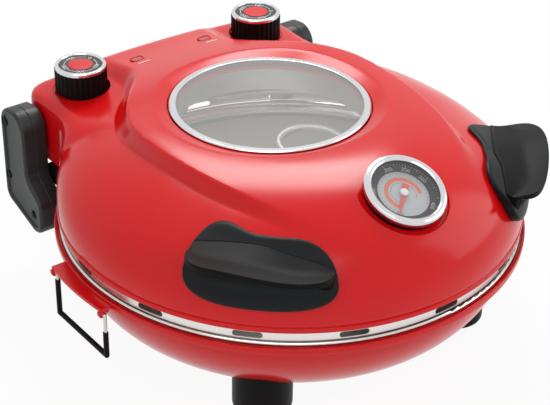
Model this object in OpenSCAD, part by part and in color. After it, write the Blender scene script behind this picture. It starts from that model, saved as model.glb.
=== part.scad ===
// Countertop pizza maker: a round base with a baking stone and a hinged domed lid.
// Millimetres, +Z up, front towards -Y. The origin is on the table, under the centre of the round rim.

/* [Body] */
// Radius of the lid's rim
rim_r = 176; // [170:0.5:182]
// Height of the lid's rim above the table
rim_z = 95.5; // [90:0.5:98]
// Depth of the base bowl below its flange
bowl_depth = 62; // [56:0.5:64]
// How far the flat bottom of the base bowl ends inside the rim
bowl_flat_in = 66; // [58:1:76]
// Thickness of the painted base bowl
bowl_t = 1.5; // [1:0.1:2.5]
// Thickness of the steel pans
steel_t = 1; // [0.8:0.1:1.2]

/* [Lid] */
// Height of the lid's crown above the rim
crown_h = 75; // [70:0.5:80]
// Thickness of the moulded lid shell
shell_t = 3; // [2.5:0.1:3.5]
// How far the control box's side walls lie inside the rim's radius
box_in = 56.5; // [56.5:0.5:58]
// How far the control box reaches behind the rim
box_over = 16; // [14:0.5:17]
// Height of the step between the raised hood and the shoulders
step_h = 10; // [7:0.5:11]

/* [Window] */
// Outer radius of the chrome window ring
window_r = 76.3; // [72:0.1:78]
// How far the window's centre lies behind the rim's axis
window_y = 26.6; // [24:0.1:30]
// Thickness of the window glass
glass_t = 4; // [3:0.5:4.5]

/* [Thermometer] */
// Outer radius of the thermometer bezel
gauge_r = 30.2; // [28:0.1:31]
// How far the gauge's middle lies inside the rim
gauge_in = 47.2; // [45:0.1:50]
// Height of the gauge's face above the rim
gauge_h = 69.8; // [69:0.1:71]
// Tilt of the gauge towards the front
gauge_tilt = 25; // [22:0.5:27]
// Length of the probe below the gauge's case
probe_len = 20; // [16:1:21]

/* [Knobs] */
// Radius of the control knobs
knob_r = 20; // [18:0.5:21]
// Height of the control knobs
knob_h = 22.5; // [18:0.5:26]
// Distance of a knob's middle from the control box's side wall
knob_side = 34.6; // [32:0.1:40]
// Distance of a knob's middle from the control box's back wall
knob_back = 32; // [28:0.5:40]
// Number of grip ribs round a knob
knob_ribs = 30; // [20:1:36]

/* [Baking] */
// Gap between the rim's radius and the baking stone
stone_in = 18; // [16:0.5:26]
// Thickness of the baking stone
stone_t = 13; // [10:0.5:14]
// Diameter of the heating tubes
tube_d = 6.5; // [6:0.1:8]
// How far the ring of the upper heating tube lies inside the rim
upper_ring_in = 58; // [52:1:64]
// How far the ring of the lower heating tube lies inside the rim
lower_ring_in = 71; // [61:1:86]

/* [Feet and arms] */
// Radius of a foot
foot_r = 22; // [18:0.5:24]
// How far the feet's middles lie inside the rim's radius, measured across
foot_in_x = 82.5; // [78:0.5:90]
// How far the feet's middles lie inside the rim's radius, measured from front to back
foot_in_y = 84; // [78:0.5:90]
// Radius of the hinge pins
pin_r = 4; // [3:0.1:4.5]
// Distance of the hinge axis from the control box's back wall
hinge_back = 18; // [17:0.5:18.5]
// Height of the hinge axis above the rim
hinge_h = 20; // [20:0.5:22]
// Gap between a hinge arm and the control box's side wall
arm_gap = 2.8; // [2.8:0.1:4]
// Width of a hinge arm
arm_w = 21; // [16:0.5:24]

/* [Handles] */
// Direction of each handle, from the middle plane towards the side
handle_deg = 45; // [43:0.5:48]
// Half the width of a handle
handle_half_w = 52; // [48:0.5:56]
// Reach of a handle's grip beyond the rim
grip_over = 14.5; // [10:0.5:18]
// Height above the rim at which the grip leaves its plate
grip_h = 52; // [50:0.5:53]
// Thickness of the grip's outer edge
grip_t = 4.5; // [4:0.5:6]

/* [Bail] */
// Diameter of the bail's wire
wire_d = 2.6; // [2:0.1:3]
// Length of the bail's legs below the pivot
bail_drop = 34; // [26:0.5:40]

/* [Hidden] */
// places and sizes that follow the rim and the control box
bowl_flat_r = rim_r - bowl_flat_in;
box_half_w = rim_r - box_in;
box_back = rim_r + box_over;
gauge_y = rim_r - gauge_in;
knob_x = box_half_w - knob_side;
knob_y = box_back - knob_back;
stone_r = rim_r - stone_in;
upper_ring_r = rim_r - upper_ring_in;
lower_ring_r = rim_r - lower_ring_in;
foot_x = rim_r - foot_in_x;
foot_y = rim_r - foot_in_y;
hinge_y = box_back - hinge_back;
arm_y = box_back - 23;
arm_in = box_half_w + arm_gap;
grip_reach = rim_r + grip_over;

// running clearance on a radius, and the gap between neighbours that do not move
run_c = 0.06;
seat_c = 0.15;
smooth = 96;

// rim stack, measured from the rim's lower edge
flange_z = 8;
flange_t = 1.7;
groove_z = 4.2;
skirt_drop = 7.3;
skirt_r = rim_r - flange_t - 0.3;
bead_r = 1.8;
bead_c = rim_r - 2.3;
bead_z = -10.2;
lip_r = rim_r + 3;
tab_over = 9;
rim_x = tab_over / 2;
rim_y = (lip_r - box_back - 0.4) / 2;
lip_top = -11.2;
bowl_top = -18;
bowl_top_r = rim_r - 5;
bowl_p = 1.75;
ledge_z = bead_z - bead_r - 0.05;

// vents in the lid pan's skirt
vent_n = 15;
vent_w = 21;
vent_h = 4.6;
vent_turn = -64.9;

// feet and cord entry
foot_edge = 4;
foot_screw_r = 2;
foot_bore_r = 5;
foot_bore_h = 6;
gland_r = 7.5;
gland_z = -45;

// pans, stone and heaters
pan_wall_r = stone_r + 3.5;
web_z = bead_z - 0.6;
pan_floor = -52;
stone_seat = -27;
stone_seat_in = stone_r - 8;
ceiling_z = 41;
ceiling_r = upper_ring_r + 2;
collar_r = window_r + 3.7;
lower_tube_z = stone_seat - 11;
upper_tube_z = 30;
loop_x = 31;
loop_y = 15;
loop_r = 25;
bend_r = 14;
tail_x = 12;
tail_bend = 12;
upper_tail_y = rim_r - 16;
lower_tail_y = stone_seat_in + 7;

// lid form
crown_flat = 88;
ring_seat_z = 64.5;
seat_half = 4.6;
hood_mid_y = 30;
crest_half = rim_r - 69.5;
crest_len = rim_r + 14;
crest_in = 61;
foot_half = rim_r - 65;
foot_len = rim_r + 49;
foot_in = 50;
side_half = 110;
hood_side_drop = 4.5;
hood_back_drop = 18.5;
hood_back_y = 75;
hood_back_len = 135;
pad_drop = 9.3;
pad_len = 130;
step_front_y = -150;
step_front_len = 130;
box_corner = 16;
neck_blend = 12;
front_power = 2.2;
side_gain = 1.4;
corner_gain = 21;
grid_turns = 96;

// hinge arms
arm_out = arm_in + arm_w;
arm_mid = arm_in + arm_w / 2;
boss_r = pin_r + 4;
hanger_in = box_half_w - 11.5;
hanger_t = 3.5;
screw_r = 1.7;
head_r = 3;

// gauge, knobs and lamps
gauge_case_r = gauge_r - 1.8;
gauge_pocket = 8.2;
gauge_depth = 16;
dial_z = -5.5;
needle_turn = 224;
needle_len = 20;
lamp_x = 32.6;
lamp_y = box_back - 31.5;
lamp_w = 11.5;
lamp_l = 7.5;
knob_floor = 51;
knob_gap = 0.6;
shaft_r = 3;
bush_r = 5;
pad_z = plateau(knob_x, knob_y) - shell_t;

// bail
bail_x = -(lip_r + 5);
bail_z = -17.2;
tab_t = 2.4;
tab_top = -12.6;
tab_back = 40.5;
tab_front = -26.5;
leg_back = 36;
leg_front = -29;
sleeve_r = wire_d / 2 + 0.7;

// ---------- helpers ----------

// smooth step from 0 to 1
function ease(t) = let (c = min(1, max(0, t))) c * c * (3 - 2 * c);

// points of a corner arc: at b, between a and c, radius r
function corner(a, b, c, r, n = 7) =
    let (u = (a - b) / norm(a - b), v = (c - b) / norm(c - b), half = acos(u * v) / 2,
         mid = (u + v) / norm(u + v), m = b + mid * r / sin(half), reach = r / tan(half),
         p = b + u * reach - m, q = b + v * reach - m, turn = acos(min(1, max(-1, p * q / (r * r)))),
         way = sign(p[0] * q[1] - p[1] * q[0]))
    [for (i = [0 : n]) let (s = way * turn * i / n)
        m + [p[0] * cos(s) - p[1] * sin(s), p[0] * sin(s) + p[1] * cos(s)]];

// closed outline from [point, corner radius] pairs
function outline(list) = let (n = len(list))
    [for (i = [0 : n - 1]) each corner(list[(i + n - 1) % n][0], list[i][0], list[(i + 1) % n][0], list[i][1])];

// the same outline moved inwards by d, for points that run counter-clockwise
function inset(list, d) = let (n = len(list))
    [for (i = [0 : n - 1])
        let (b = list[i][0], u = b - list[(i + n - 1) % n][0], v = list[(i + 1) % n][0] - b,
             nu = [-u[1], u[0]] / norm(u), nv = [-v[1], v[0]] / norm(v), side = sign(u[0] * v[1] - u[1] * v[0]))
        [b + d * (nu + nv) / (1 + nu * nv), max(0.6, list[i][1] - side * d)]];

// quads between closed rings of equal length, closed round both ways
function torus_faces(n, m) =
    [for (i = [0 : n - 1], j = [0 : m - 1])
        let (a = i * m + j, b = ((i + 1) % n) * m + j, c = ((i + 1) % n) * m + (j + 1) % m,
             d = i * m + (j + 1) % m)
        each [[a, b, c], [a, c, d]]];

// the rim's axis stands where the whole object's box is centred on the origin
module at_base() translate([rim_x, rim_y, 0]) children();
module at_rim() translate([rim_x, rim_y, rim_z]) children();
module left_twin() translate([2 * rim_x, 0, 0]) mirror([1, 0, 0]) children();

// a child repeated on both sides of the middle plane
module both_sides() {
    children();
    mirror([1, 0, 0]) children();
}

module rod(a, b, d) {
    v = b - a;
    translate(a) rotate([0, acos(v[2] / norm(v)), atan2(v[1], v[0])]) cylinder(d = d, h = norm(v), $fn = 32);
}

// closed loft through sections with equal numbers of points
module loft(s) {
    n = len(s);
    m = len(s[0]);
    polyhedron([for (a = s) each a], concat(
        [for (i = [0 : n - 2], j = [0 : m - 1]) let (a = i * m + j, b = i * m + (j + 1) % m)
            each [[a, b, a + m], [b, b + m, a + m]]],
        [[for (j = [m - 1 : -1 : 0]) j]], [[for (j = [0 : m - 1]) (n - 1) * m + j]]), convexity = 4);
}

// ---------- form of the lid ----------

// distance from the window's centre to the lid's outline in direction f
function round_reach(f) = let (b = window_y * sin(f)) -b + sqrt(b * b - window_y * window_y + rim_r * rim_r);
function corner_reach(f) =
    let (cx = box_half_w - box_corner, cy = box_back - window_y - box_corner,
         s = cx * abs(cos(f)) + cy * sin(f), q = s * s - cx * cx - cy * cy + box_corner * box_corner)
    q < 0 ? 0 : s + sqrt(q);
function box_reach(f) = sin(f) <= 0 ? 0 :
    let (side = box_half_w / max(0.001, abs(cos(f))), back = (box_back - window_y) / sin(f),
         k = corner_reach(f))
    k > 0 && k * abs(cos(f)) > box_half_w - box_corner && k * sin(f) > box_back - window_y - box_corner
        ? k : min(side, back);
function lid_reach(f) =
    let (a = round_reach(f), b = box_reach(f), h = min(1, max(0, 0.5 + (b - a) / neck_blend / 2)))
    a * (1 - h) + b * h + neck_blend * h * (1 - h);

// a line in plan that runs round the hood: an ellipse in front, and an S-curve inwards behind
function hood_line(y, half, len, inwards, back_len, bend) = y < hood_mid_y
    ? half * sqrt(max(0, 1 - pow((y - hood_mid_y) / len, 2)))
    : half - inwards * ease(pow((y - hood_mid_y) / back_len, bend));

// height of the lid's plateau, before it falls away to the rim: the hood, and the shoulders beside it
function plateau(x, y) =
    let (side = crown_h - hood_side_drop * pow(x / side_half, 2),
         hood = side - hood_back_drop * ease((y - hood_back_y) / hood_back_len),
         shoulder = side - step_h * ease((y - step_front_y) / step_front_len) - pad_drop * ease(y / pad_len),
         crest = hood_line(y, crest_half, crest_len, crest_in, 120, 1.3),
         low = hood_line(y, foot_half, foot_len, foot_in, 113, 1.8),
         mix = ease((low - abs(x)) / max(1, low - crest)))
    hood * mix + shoulder * (1 - mix);

// fall from the plateau at d = crown_flat to the outline at reach: 1 to 0
function fall_power(f) =
    front_power + side_gain * ease(sin(f) + 0.15) + corner_gain * ease((sin(f) - 0.5) / 0.42);
function fall(d, reach, f) =
    let (u = min(1, max(0, (d - crown_flat) / (reach - crown_flat))), p = fall_power(f))
    pow(1 - pow(u, p), 1 / p);

function polar(d, f) = [d * cos(f), window_y + d * sin(f)];
function lid_z(d, f, in = 0) =
    let (q = polar(d, f))
    flange_z + (plateau(q[0], q[1]) - in - flange_z) * fall(d, lid_reach(f) - in, f);

// distance from the window's centre at which the lid has height z in direction f
function lid_d(z, f) =
    let (q = polar(150, f), top = plateau(q[0], q[1]), p = fall_power(f),
         u = pow(1 - pow(min(1, max(0, (z - flange_z) / (top - flange_z))), p), 1 / p))
    crown_flat + u * (lid_reach(f) - crown_flat);

// one section of the shell, from the window seat over the top, down the rim and back inside
out_steps = 17;
in_steps = 14;
function shell_section(f) =
    let (reach = lid_reach(f), wall = window_r + 0.9, in_reach = reach - shell_t)
    concat(
        [[wall - seat_half, ring_seat_z], [wall, ring_seat_z], [wall, ring_seat_z + 5]],
        [for (i = [0 : out_steps]) let (d = crown_flat + (reach - crown_flat) * (1 - pow(1 - i / out_steps, 1.8)))
            [d, lid_z(d, f)]],
        [[reach, groove_z + 0.6], [reach - 1.2, groove_z], [reach + 0.4, groove_z - 0.9], [reach + 0.4, 0],
         [reach - flange_t, 0], [reach - flange_t, groove_z + 0.8]],
        [for (i = [in_steps : -1 : 0])
            let (d = crown_flat + (in_reach - crown_flat) * (1 - pow(1 - i / in_steps, 1.5)))
            [d, lid_z(d, f, shell_t)]],
        [[wall, ring_seat_z - 2.5], [wall - seat_half, ring_seat_z - 2.5]]);

function shell_points() = [for (k = [0 : grid_turns - 1]) let (f = 360 * k / grid_turns)
    for (s = shell_section(f)) [s[0] * cos(f), window_y + s[0] * sin(f), s[1]]];

module lid_solid() polyhedron(shell_points(), torus_faces(grid_turns, len(shell_section(0))), convexity = 8);

module at_gauge() at_rim() translate([0, -gauge_y, gauge_h]) rotate([gauge_tilt, 0, 0]) children();
module at_knob(side) at_rim() translate([side * knob_x, knob_y, knob_floor]) children();
module at_lamp(side) at_rim() translate([side * lamp_x, lamp_y, 0]) children();
module at_pin(side) at_rim() translate([side * hanger_in, hinge_y, hinge_h]) rotate([0, side * 90, 0]) children();

// ---------- base ----------

function bowl_curve(r, flat, top, depth, n = 14) = [for (i = [0 : n]) let (q = 90 * i / n)
    [flat + (r - flat) * pow(max(0, cos(q)), 2 / bowl_p), top - depth * pow(sin(q), 2 / bowl_p)]];

function bowl_outer() = concat(
    [[lip_r, lip_top], [lip_r, lip_top - 4.2], [lip_r - 0.7, lip_top - 4.6], [lip_r - 0.7, lip_top - 6.3],
     [bowl_top_r + 1, bowl_top]],
    bowl_curve(bowl_top_r, bowl_flat_r, bowl_top, bowl_depth));

// height of the bowl's surface at radius r, moved inwards by in
function bowl_z(r, in = 0) =
    let (u = min(1, max(0, (r - bowl_flat_r + in) / (bowl_top_r - bowl_flat_r))))
    bowl_top - (bowl_depth - in) * pow(1 - pow(u, bowl_p), 1 / bowl_p);

// the bowl's outer form, filled: what stands under it is cut with this
module bowl_form() rotate_extrude($fn = smooth)
    polygon(concat([[0, lip_top]], bowl_outer(), [[0, bowl_top - bowl_depth]]));

module base_bowl() color("firebrick") {
    inner = bowl_curve(bowl_top_r - bowl_t, bowl_flat_r - bowl_t, bowl_top, bowl_depth - bowl_t);
    difference() {
        at_rim() rotate_extrude($fn = smooth) polygon(concat(
            bowl_outer(), [[0, bowl_top - bowl_depth], [0, bowl_top - bowl_depth + bowl_t]],
            [for (i = [len(inner) - 1 : -1 : 0]) inner[i]],
            [[bowl_top_r - 1, ledge_z], [bead_c + 1.5, ledge_z], [bead_c + 1.5, ledge_z - 2.3],
             [lip_r - 1.7, ledge_z - 2.3], [lip_r - 1.7, lip_top]]));
        at_feet()
            cylinder(r = foot_screw_r + seat_c, h = rim_z + bowl_top - bowl_depth / 2, $fn = 32);
        at_rim() translate([0, bowl_top_r, gland_z]) rotate([90, 0, 0])
            cylinder(r = gland_r + seat_c, h = 60, center = true, $fn = 48);
    }
}

// round holes that the two ends of a heater pass through
module tail_holes(z, y) for (side = [-1, 1]) translate([side * tail_x, y, z]) rotate([-90, 0, 0])
    cylinder(d = tube_d + 1, h = 60, $fn = 32);

module base_pan() color("silver") difference() {
    at_rim() union() {
        rotate_extrude($fn = smooth) polygon([
            [bead_c - 0.5, web_z], [pan_wall_r + 1.5, web_z], [pan_wall_r, web_z - 2], [pan_wall_r, stone_seat],
            [stone_seat_in, stone_seat], [stone_seat_in - 2, pan_floor], [0, pan_floor],
            [0, pan_floor - steel_t], [stone_seat_in - 2 + steel_t, pan_floor - steel_t],
            [stone_seat_in + steel_t, stone_seat - steel_t], [pan_wall_r + steel_t, stone_seat - steel_t],
            [pan_wall_r + steel_t, web_z - 2.4], [pan_wall_r + 2, web_z - steel_t], [bead_c - 0.5, web_z - steel_t]]);
        rotate_extrude($fn = smooth) translate([bead_c, bead_z]) circle(r = bead_r, $fn = 32);
    }
    at_rim() tail_holes(lower_tube_z, stone_seat_in - 30);
}

// points of an arc about c
function arc(c, r, a0, a1, n) = [for (i = [0 : n]) let (a = a0 + (a1 - a0) * i / n) c + r * [cos(a), sin(a)]];

// a level tube along points in a plane: a round section square to the path at each point
function tube_sections(path, z, d, sides = 10) = let (n = len(path))
    [for (i = [0 : n - 1])
        let (v = path[min(n - 1, i + 1)] - path[max(0, i - 1)], u = v / norm(v))
        [for (k = [0 : sides - 1]) let (a = 360 * k / sides)
            [path[i][0] + d / 2 * cos(a) * u[1], path[i][1] - d / 2 * cos(a) * u[0], z + d / 2 * sin(a)]]];

// a heater's ends leave its ring through a bend and run straight to the back
function tail_c(r) = [-(tail_x + tail_bend), sqrt(pow(r + tail_bend, 2) - pow(tail_x + tail_bend, 2))];
function tail_a(r) = atan2(tail_c(r)[1], tail_c(r)[0]);
function tail_in(r, y) = concat([[-tail_x, y]], arc(tail_c(r), tail_bend, 0, tail_a(r) - 180, 5));
function tail_out(r, y) = let (t = tail_in(r, y)) [for (i = [len(t) - 1 : -1 : 0]) [-t[i][0], t[i][1]]];

module lower_heater() color("dimgray") at_rim() loft(tube_sections(concat(
    tail_in(lower_ring_r, lower_tail_y),
    arc([0, 0], lower_ring_r, tail_a(lower_ring_r) + 5, 535 - tail_a(lower_ring_r), 60),
    tail_out(lower_ring_r, lower_tail_y)), lower_tube_z, tube_d));

// a steel saddle that holds a ring tube: it stands on the floor at z0 or hangs from z1
module saddle(r, a, z0, z1, tube_z) rotate([0, 0, a]) difference() {
    translate([r - tube_d, -1.5, z0]) cube([2 * tube_d, 3, z1 - z0]);
    translate([0, 0, tube_z]) rotate_extrude($fn = smooth) translate([r, 0]) circle(d = tube_d + 0.5, $fn = 32);
}

module lower_heater_clips() color("silver") at_rim() for (a = [0, 180, 270])
    saddle(lower_ring_r, a, pan_floor, lower_tube_z + tube_d / 2 + 1.5, lower_tube_z);

module baking_stone() color("wheat") at_rim() translate([0, 0, stone_seat]) rotate_extrude($fn = smooth)
    polygon([[0, 0], [stone_r - 1.5, 0], [stone_r, 1.5], [stone_r, stone_t - 1.5], [stone_r - 1.5, stone_t],
             [0, stone_t]]);

module foot(x, y) color("black") at_base() difference() {
    translate([x, y, 0]) rotate_extrude($fn = 64) polygon(concat(
        [[0, 0]], [for (a = [0 : 18 : 90]) [foot_r - foot_edge + foot_edge * sin(a), foot_edge - foot_edge * cos(a)]],
        [[foot_r, rim_z + bowl_top - bowl_depth / 2], [0, rim_z + bowl_top - bowl_depth / 2]]));
    translate([0, 0, rim_z]) bowl_form();
    translate([x, y, -1]) cylinder(r = foot_bore_r, h = foot_bore_h + 1, $fn = 32);
    translate([x, y, 0]) cylinder(r = foot_screw_r + seat_c, h = rim_z, $fn = 32);
}
module foot_front_left() foot(-foot_x, -foot_y);
module foot_front_right() foot(foot_x, -foot_y);
module foot_rear_left() foot(-foot_x, foot_y);
module foot_rear_right() foot(foot_x, foot_y);

// lowest height at which a nut clears the bowl's sloping inner face at a foot
nut_z = rim_z + bowl_z(norm([foot_x, foot_y]) + 1.9 * foot_screw_r, bowl_t) + 0.2;
nut_h = 3.2;
module at_feet() at_base() for (x = [-1, 1], y = [-1, 1]) translate([x * foot_x, y * foot_y, 0]) children();
module foot_screws() color("silver") at_feet() {
    translate([0, 0, foot_bore_h - 3]) cylinder(r = foot_bore_r - 0.6, h = 3, $fn = 32);
    translate([0, 0, foot_bore_h]) cylinder(r = foot_screw_r, h = nut_z + nut_h + 1 - foot_bore_h, $fn = 32);
}
module foot_nuts() color("silver") at_feet() translate([0, 0, nut_z]) difference() {
    cylinder(r = 1.8 * foot_screw_r, h = nut_h, $fn = 6);
    translate([0, 0, -1]) cylinder(r = foot_screw_r + 0.02, h = nut_h + 2, $fn = 32);
}

module cord_gland() color("black") at_rim() translate([0, 0, gland_z]) difference() {
    union() {
        difference() {
            translate([0, bowl_top_r + 1, 0]) rotate([90, 0, 0]) cylinder(r = gland_r + 4, h = 18, $fn = 48);
            translate([0, 0, -gland_z]) bowl_form();
        }
        translate([0, bowl_top_r + 5, 0]) rotate([90, 0, 0]) cylinder(r = gland_r, h = 22, $fn = 48);
    }
    translate([0, bowl_top_r + 10, 0]) rotate([90, 0, 0]) cylinder(r = gland_r - 3.5, h = 40, $fn = 48);
}

module terminal_block() color("ivory") at_rim() translate([0, bowl_flat_r - 48, bowl_top - bowl_depth + bowl_t]) difference() {
    union() {
        translate([-26, -9, 0]) cube([52, 18, 8]);
        for (i = [-1 : 1]) translate([i * 16 - 6, -7, 8]) cube([12, 14, 8]);
    }
    for (i = [-1 : 1]) translate([i * 16, 0, 12]) rotate([90, 0, 0])
        cylinder(r = 2, h = 30, center = true, $fn = 32);
}

// ---------- bail ----------

tab_bow = 260;
module bail_tab() color("firebrick") at_rim() difference() {
    union() {
        intersection() {
            translate([-(lip_r + tab_over), tab_front, tab_top - tab_t]) cube([22, tab_back - tab_front, tab_t]);
            translate([tab_bow - lip_r - tab_over, (tab_back + tab_front) / 2, tab_top - 10])
                cylinder(r = tab_bow, h = 20, $fn = 240);
        }
        for (y = [tab_front, tab_back - tab_t]) {
            translate([bail_x - 3.2, y, bail_z]) cube([8.2, tab_t, tab_top - tab_t - bail_z]);
            translate([bail_x, y + tab_t, bail_z]) rotate([90, 0, 0]) cylinder(r = 3.2, h = tab_t, $fn = 48);
        }
    }
    translate([0, 0, tab_top - 30]) cylinder(r = lip_r, h = 60, $fn = smooth);
    translate([bail_x, 0, bail_z]) rotate([90, 0, 0])
        cylinder(r = wire_d / 2 + run_c, h = 200, center = true, $fn = 32);
}

// the two legs and the bar of the bail, from a given distance below the pivot
module bail_path(d, back_from, front_from) {
    low = bail_z - bail_drop;
    rod([bail_x, leg_back, bail_z - back_from], [bail_x, leg_back, low], d);
    rod([bail_x, leg_back, low], [bail_x, leg_front, low], d);
    rod([bail_x, leg_front, low], [bail_x, leg_front, bail_z - front_from], d);
    for (y = [leg_back, leg_front]) translate([bail_x, y, low]) sphere(d = d, $fn = 32);
}
module bail_wire() color("silver") at_rim() {
    bail_path(wire_d, 0, 0);
    for (y = [leg_back, leg_front]) translate([bail_x, y, bail_z]) sphere(d = wire_d, $fn = 32);
    rod([bail_x, leg_back, bail_z], [bail_x, tab_back + 1.2, bail_z], wire_d);
    rod([bail_x, leg_front, bail_z], [bail_x, tab_front + tab_t + 1.2, bail_z], wire_d);
}
module bail_sleeve() color("black") at_rim() difference() {
    bail_path(2 * sleeve_r, 5, 14);
    bail_path(wire_d, 0, 0);
}

// ---------- hinge arms ----------

// side outline of an arm: [distance behind the line y = arm_y, height above the rim], corner radius
arm_shape = [[[20, 42], 13], [[-15.5, 46], 20], [[-16, -9], 13], [[-36, -24], 9], [[-35, -57], 11], [[20, -39], 11]];
arm_holes = [[14, 30], [14.5, -18], [-21.5, -38.5]];
arm_pocket = 5;

module side_plate(shape, y, x0, x1) translate([x0, y, 0]) rotate([90, 0, 90])
    linear_extrude(x1 - x0) polygon(outline(shape));
module along_holes(x0, x1, r) for (p = arm_holes) translate([x0, arm_y + p[0], p[1]]) rotate([0, 90, 0])
    cylinder(r = r, h = x1 - x0, $fn = 32);

module arm_inner_half() at_rim() difference() {
    side_plate(arm_shape, arm_y, arm_in, arm_mid);
    along_holes(arm_in + 3, arm_mid + 1, screw_r + 0.02);
    translate([arm_in - 1, hinge_y, hinge_h]) rotate([0, 90, 0]) cylinder(r = pin_r + 0.02, h = arm_w, $fn = 48);
}
module arm_outer_half() at_rim() difference() {
    side_plate(arm_shape, arm_y, arm_mid + 0.02, arm_out);
    side_plate(inset(arm_shape, arm_pocket), arm_y, arm_out - 1.6, arm_out + 1);
    along_holes(arm_mid - 1, arm_out + 1, screw_r + seat_c);
    along_holes(arm_out - 7, arm_out + 1, head_r + 0.4);
}
module arm_right_inner() color("dimgray") arm_inner_half();
module arm_right_outer() color("dimgray") arm_outer_half();
module arm_left_inner() color("dimgray") left_twin() arm_inner_half();
module arm_left_outer() color("dimgray") left_twin() arm_outer_half();
module arm_screws() color("silver") at_rim() both_sides() {
    along_holes(arm_in + 4, arm_out - 7, screw_r);
    along_holes(arm_out - 7, arm_out - 5, head_r);
}

// black feet of the arms: a long one on the bowl's wall, and a lug at its rim
module arm_brackets() color("black") at_rim() both_sides() {
    difference() {
        translate([arm_in - 56, arm_y - 34, -44]) cube([56, 16, 18]);
        bowl_form();
    }
    difference() {
        translate([0, 0, -16]) linear_extrude(14) hull() {
            translate([arm_in - 12, arm_y - 17]) square([12, 4]);
            translate([arm_in - 5, arm_y - 25]) circle(r = 5, $fn = 48);
        }
        translate([0, 0, -20]) cylinder(r = lip_r + 0.4, h = 24, $fn = smooth);
    }
}

module hinge_pin() at_pin(1) {
    translate([0, 0, -2]) cylinder(r = pin_r + 1.5, h = 1.9, $fn = 48);
    translate([0, 0, -0.2]) cylinder(r = pin_r, h = arm_mid - hanger_in - 0.8, $fn = 48);
}
module hinge_pin_right() color("silver") hinge_pin();
module hinge_pin_left() color("silver") left_twin() hinge_pin();

// steel hanger inside the control box: it joins the lid pan's edge to the hinge pin
module hinge_hanger() at_rim() difference() {
    side_plate([[[boss_r, hinge_h + boss_r], boss_r - 1], [[-14, hinge_h + boss_r], 6], [[-47, 16], 6],
                [[-47, 8.1], 1], [[-35, 8.1], 4], [[boss_r, hinge_h - boss_r], boss_r - 1]],
               hinge_y, hanger_in, hanger_in + hanger_t);
    translate([hanger_in - 1, hinge_y, hinge_h]) rotate([0, 90, 0]) cylinder(r = pin_r + run_c, h = 10, $fn = 48);
}
module hinge_hanger_right() color("silver") hinge_hanger();
module hinge_hanger_left() color("silver") left_twin() hinge_hanger();

// ---------- lid ----------

module lid_shell() color("firebrick") difference() {
    at_rim() lid_solid();
    at_gauge() translate([0, 0, -gauge_pocket]) cylinder(r = gauge_r + 3.8, h = 20, $fn = smooth);
    at_gauge() translate([0, 0, -30]) cylinder(r = gauge_case_r + 0.3, h = 40, $fn = smooth);
    for (side = [-1, 1]) {
        at_knob(side) cylinder(r = knob_r + 2.5, h = 12, $fn = smooth);
        at_knob(side) translate([0, 0, -12]) cylinder(r = bush_r + seat_c, h = 20, $fn = 48);
        at_lamp(side) translate([0, 0, 45]) lamp_form(0, 40);
        // open slot in the side wall that lets the hinge pin in from below
        at_rim() translate([side * (box_half_w + 1), hinge_y, (hinge_h + pin_r) / 2])
            cube([12, 2 * pin_r + 1.6, hinge_h + pin_r + 1.6], center = true);
    }
}

module vent_slot() rotate([0, 90, 0]) {
    translate([-vent_h / 2, -(vent_w - vent_h) / 2, 0]) cube([vent_h, vent_w - vent_h, 8]);
    for (s = [-1, 1]) translate([0, s * (vent_w - vent_h) / 2, 0]) cylinder(d = vent_h, h = 8, $fn = 32);
}

module lid_pan() color("silver") at_rim() difference() {
    rotate_extrude($fn = smooth) polygon([
        [skirt_r, -skirt_drop], [skirt_r, 2.5], [skirt_r - 4, 3.5], [skirt_r - 9, 9], [skirt_r - 16, 21],
        [skirt_r - 26, 33], [skirt_r - 39, ceiling_z - 1.5], [ceiling_r, ceiling_z], [20, ceiling_z],
        [20, ceiling_z - steel_t], [ceiling_r, ceiling_z - steel_t], [skirt_r - 39.4, ceiling_z - 1.5 - steel_t],
        [skirt_r - 26.7, 33 - 0.8 * steel_t], [skirt_r - 16.8, 21 - 0.6 * steel_t],
        [skirt_r - 9.8, 9 - 0.6 * steel_t], [skirt_r - 4.6, 3.5 - 0.8 * steel_t],
        [skirt_r - steel_t, 2.5 - 0.8 * steel_t], [skirt_r - steel_t, -skirt_drop]]);
    translate([0, window_y, 0]) cylinder(r = collar_r, h = 80, $fn = smooth);
    for (i = [0 : vent_n - 1]) rotate([0, 0, vent_turn + i * 360 / vent_n])
        translate([skirt_r - 4, 0, -0.55 * skirt_drop]) vent_slot();
    tail_holes(upper_tube_z, ceiling_r + 15);
    translate([0, -gauge_y, gauge_h]) rotate([gauge_tilt, 0, 0]) translate([0, 0, -gauge_depth - probe_len - 4])
        cylinder(r = probe_r + 0.5, h = probe_len + 8, $fn = 32);
}

// upper heater: a ring whose front turns inwards in one loop below the window
inner_r = upper_ring_r - bend_r;
left_x = loop_x - loop_r;
right_x = loop_x + loop_r;
left_c = [left_x - bend_r, -sqrt(pow(inner_r, 2) - pow(left_x - bend_r, 2))];
right_c = [right_x + bend_r, -sqrt(pow(inner_r, 2) - pow(right_x + bend_r, 2))];
left_a = atan2(left_c[1], left_c[0]);
right_a = atan2(right_c[1], right_c[0]);
module upper_heater() color("dimgray") at_rim() loft(tube_sections(concat(
    tail_in(upper_ring_r, upper_tail_y),
    arc([0, 0], upper_ring_r, tail_a(upper_ring_r) + 5, 355 + left_a, 28),
    arc(left_c, bend_r, left_a, 0, 6), arc([loop_x, loop_y], loop_r, 180, 0, 16),
    arc(right_c, bend_r, 180, 360 + right_a, 8),
    arc([0, 0], upper_ring_r, right_a + 5, 175 - tail_a(upper_ring_r), 20),
    tail_out(upper_ring_r, upper_tail_y)), upper_tube_z, tube_d));
module upper_heater_clips() color("silver") at_rim() for (a = [25, 155, 215])
    saddle(upper_ring_r, a, upper_tube_z - tube_d / 2 - 1.5, ceiling_z - steel_t - 0.7, upper_tube_z);

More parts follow.
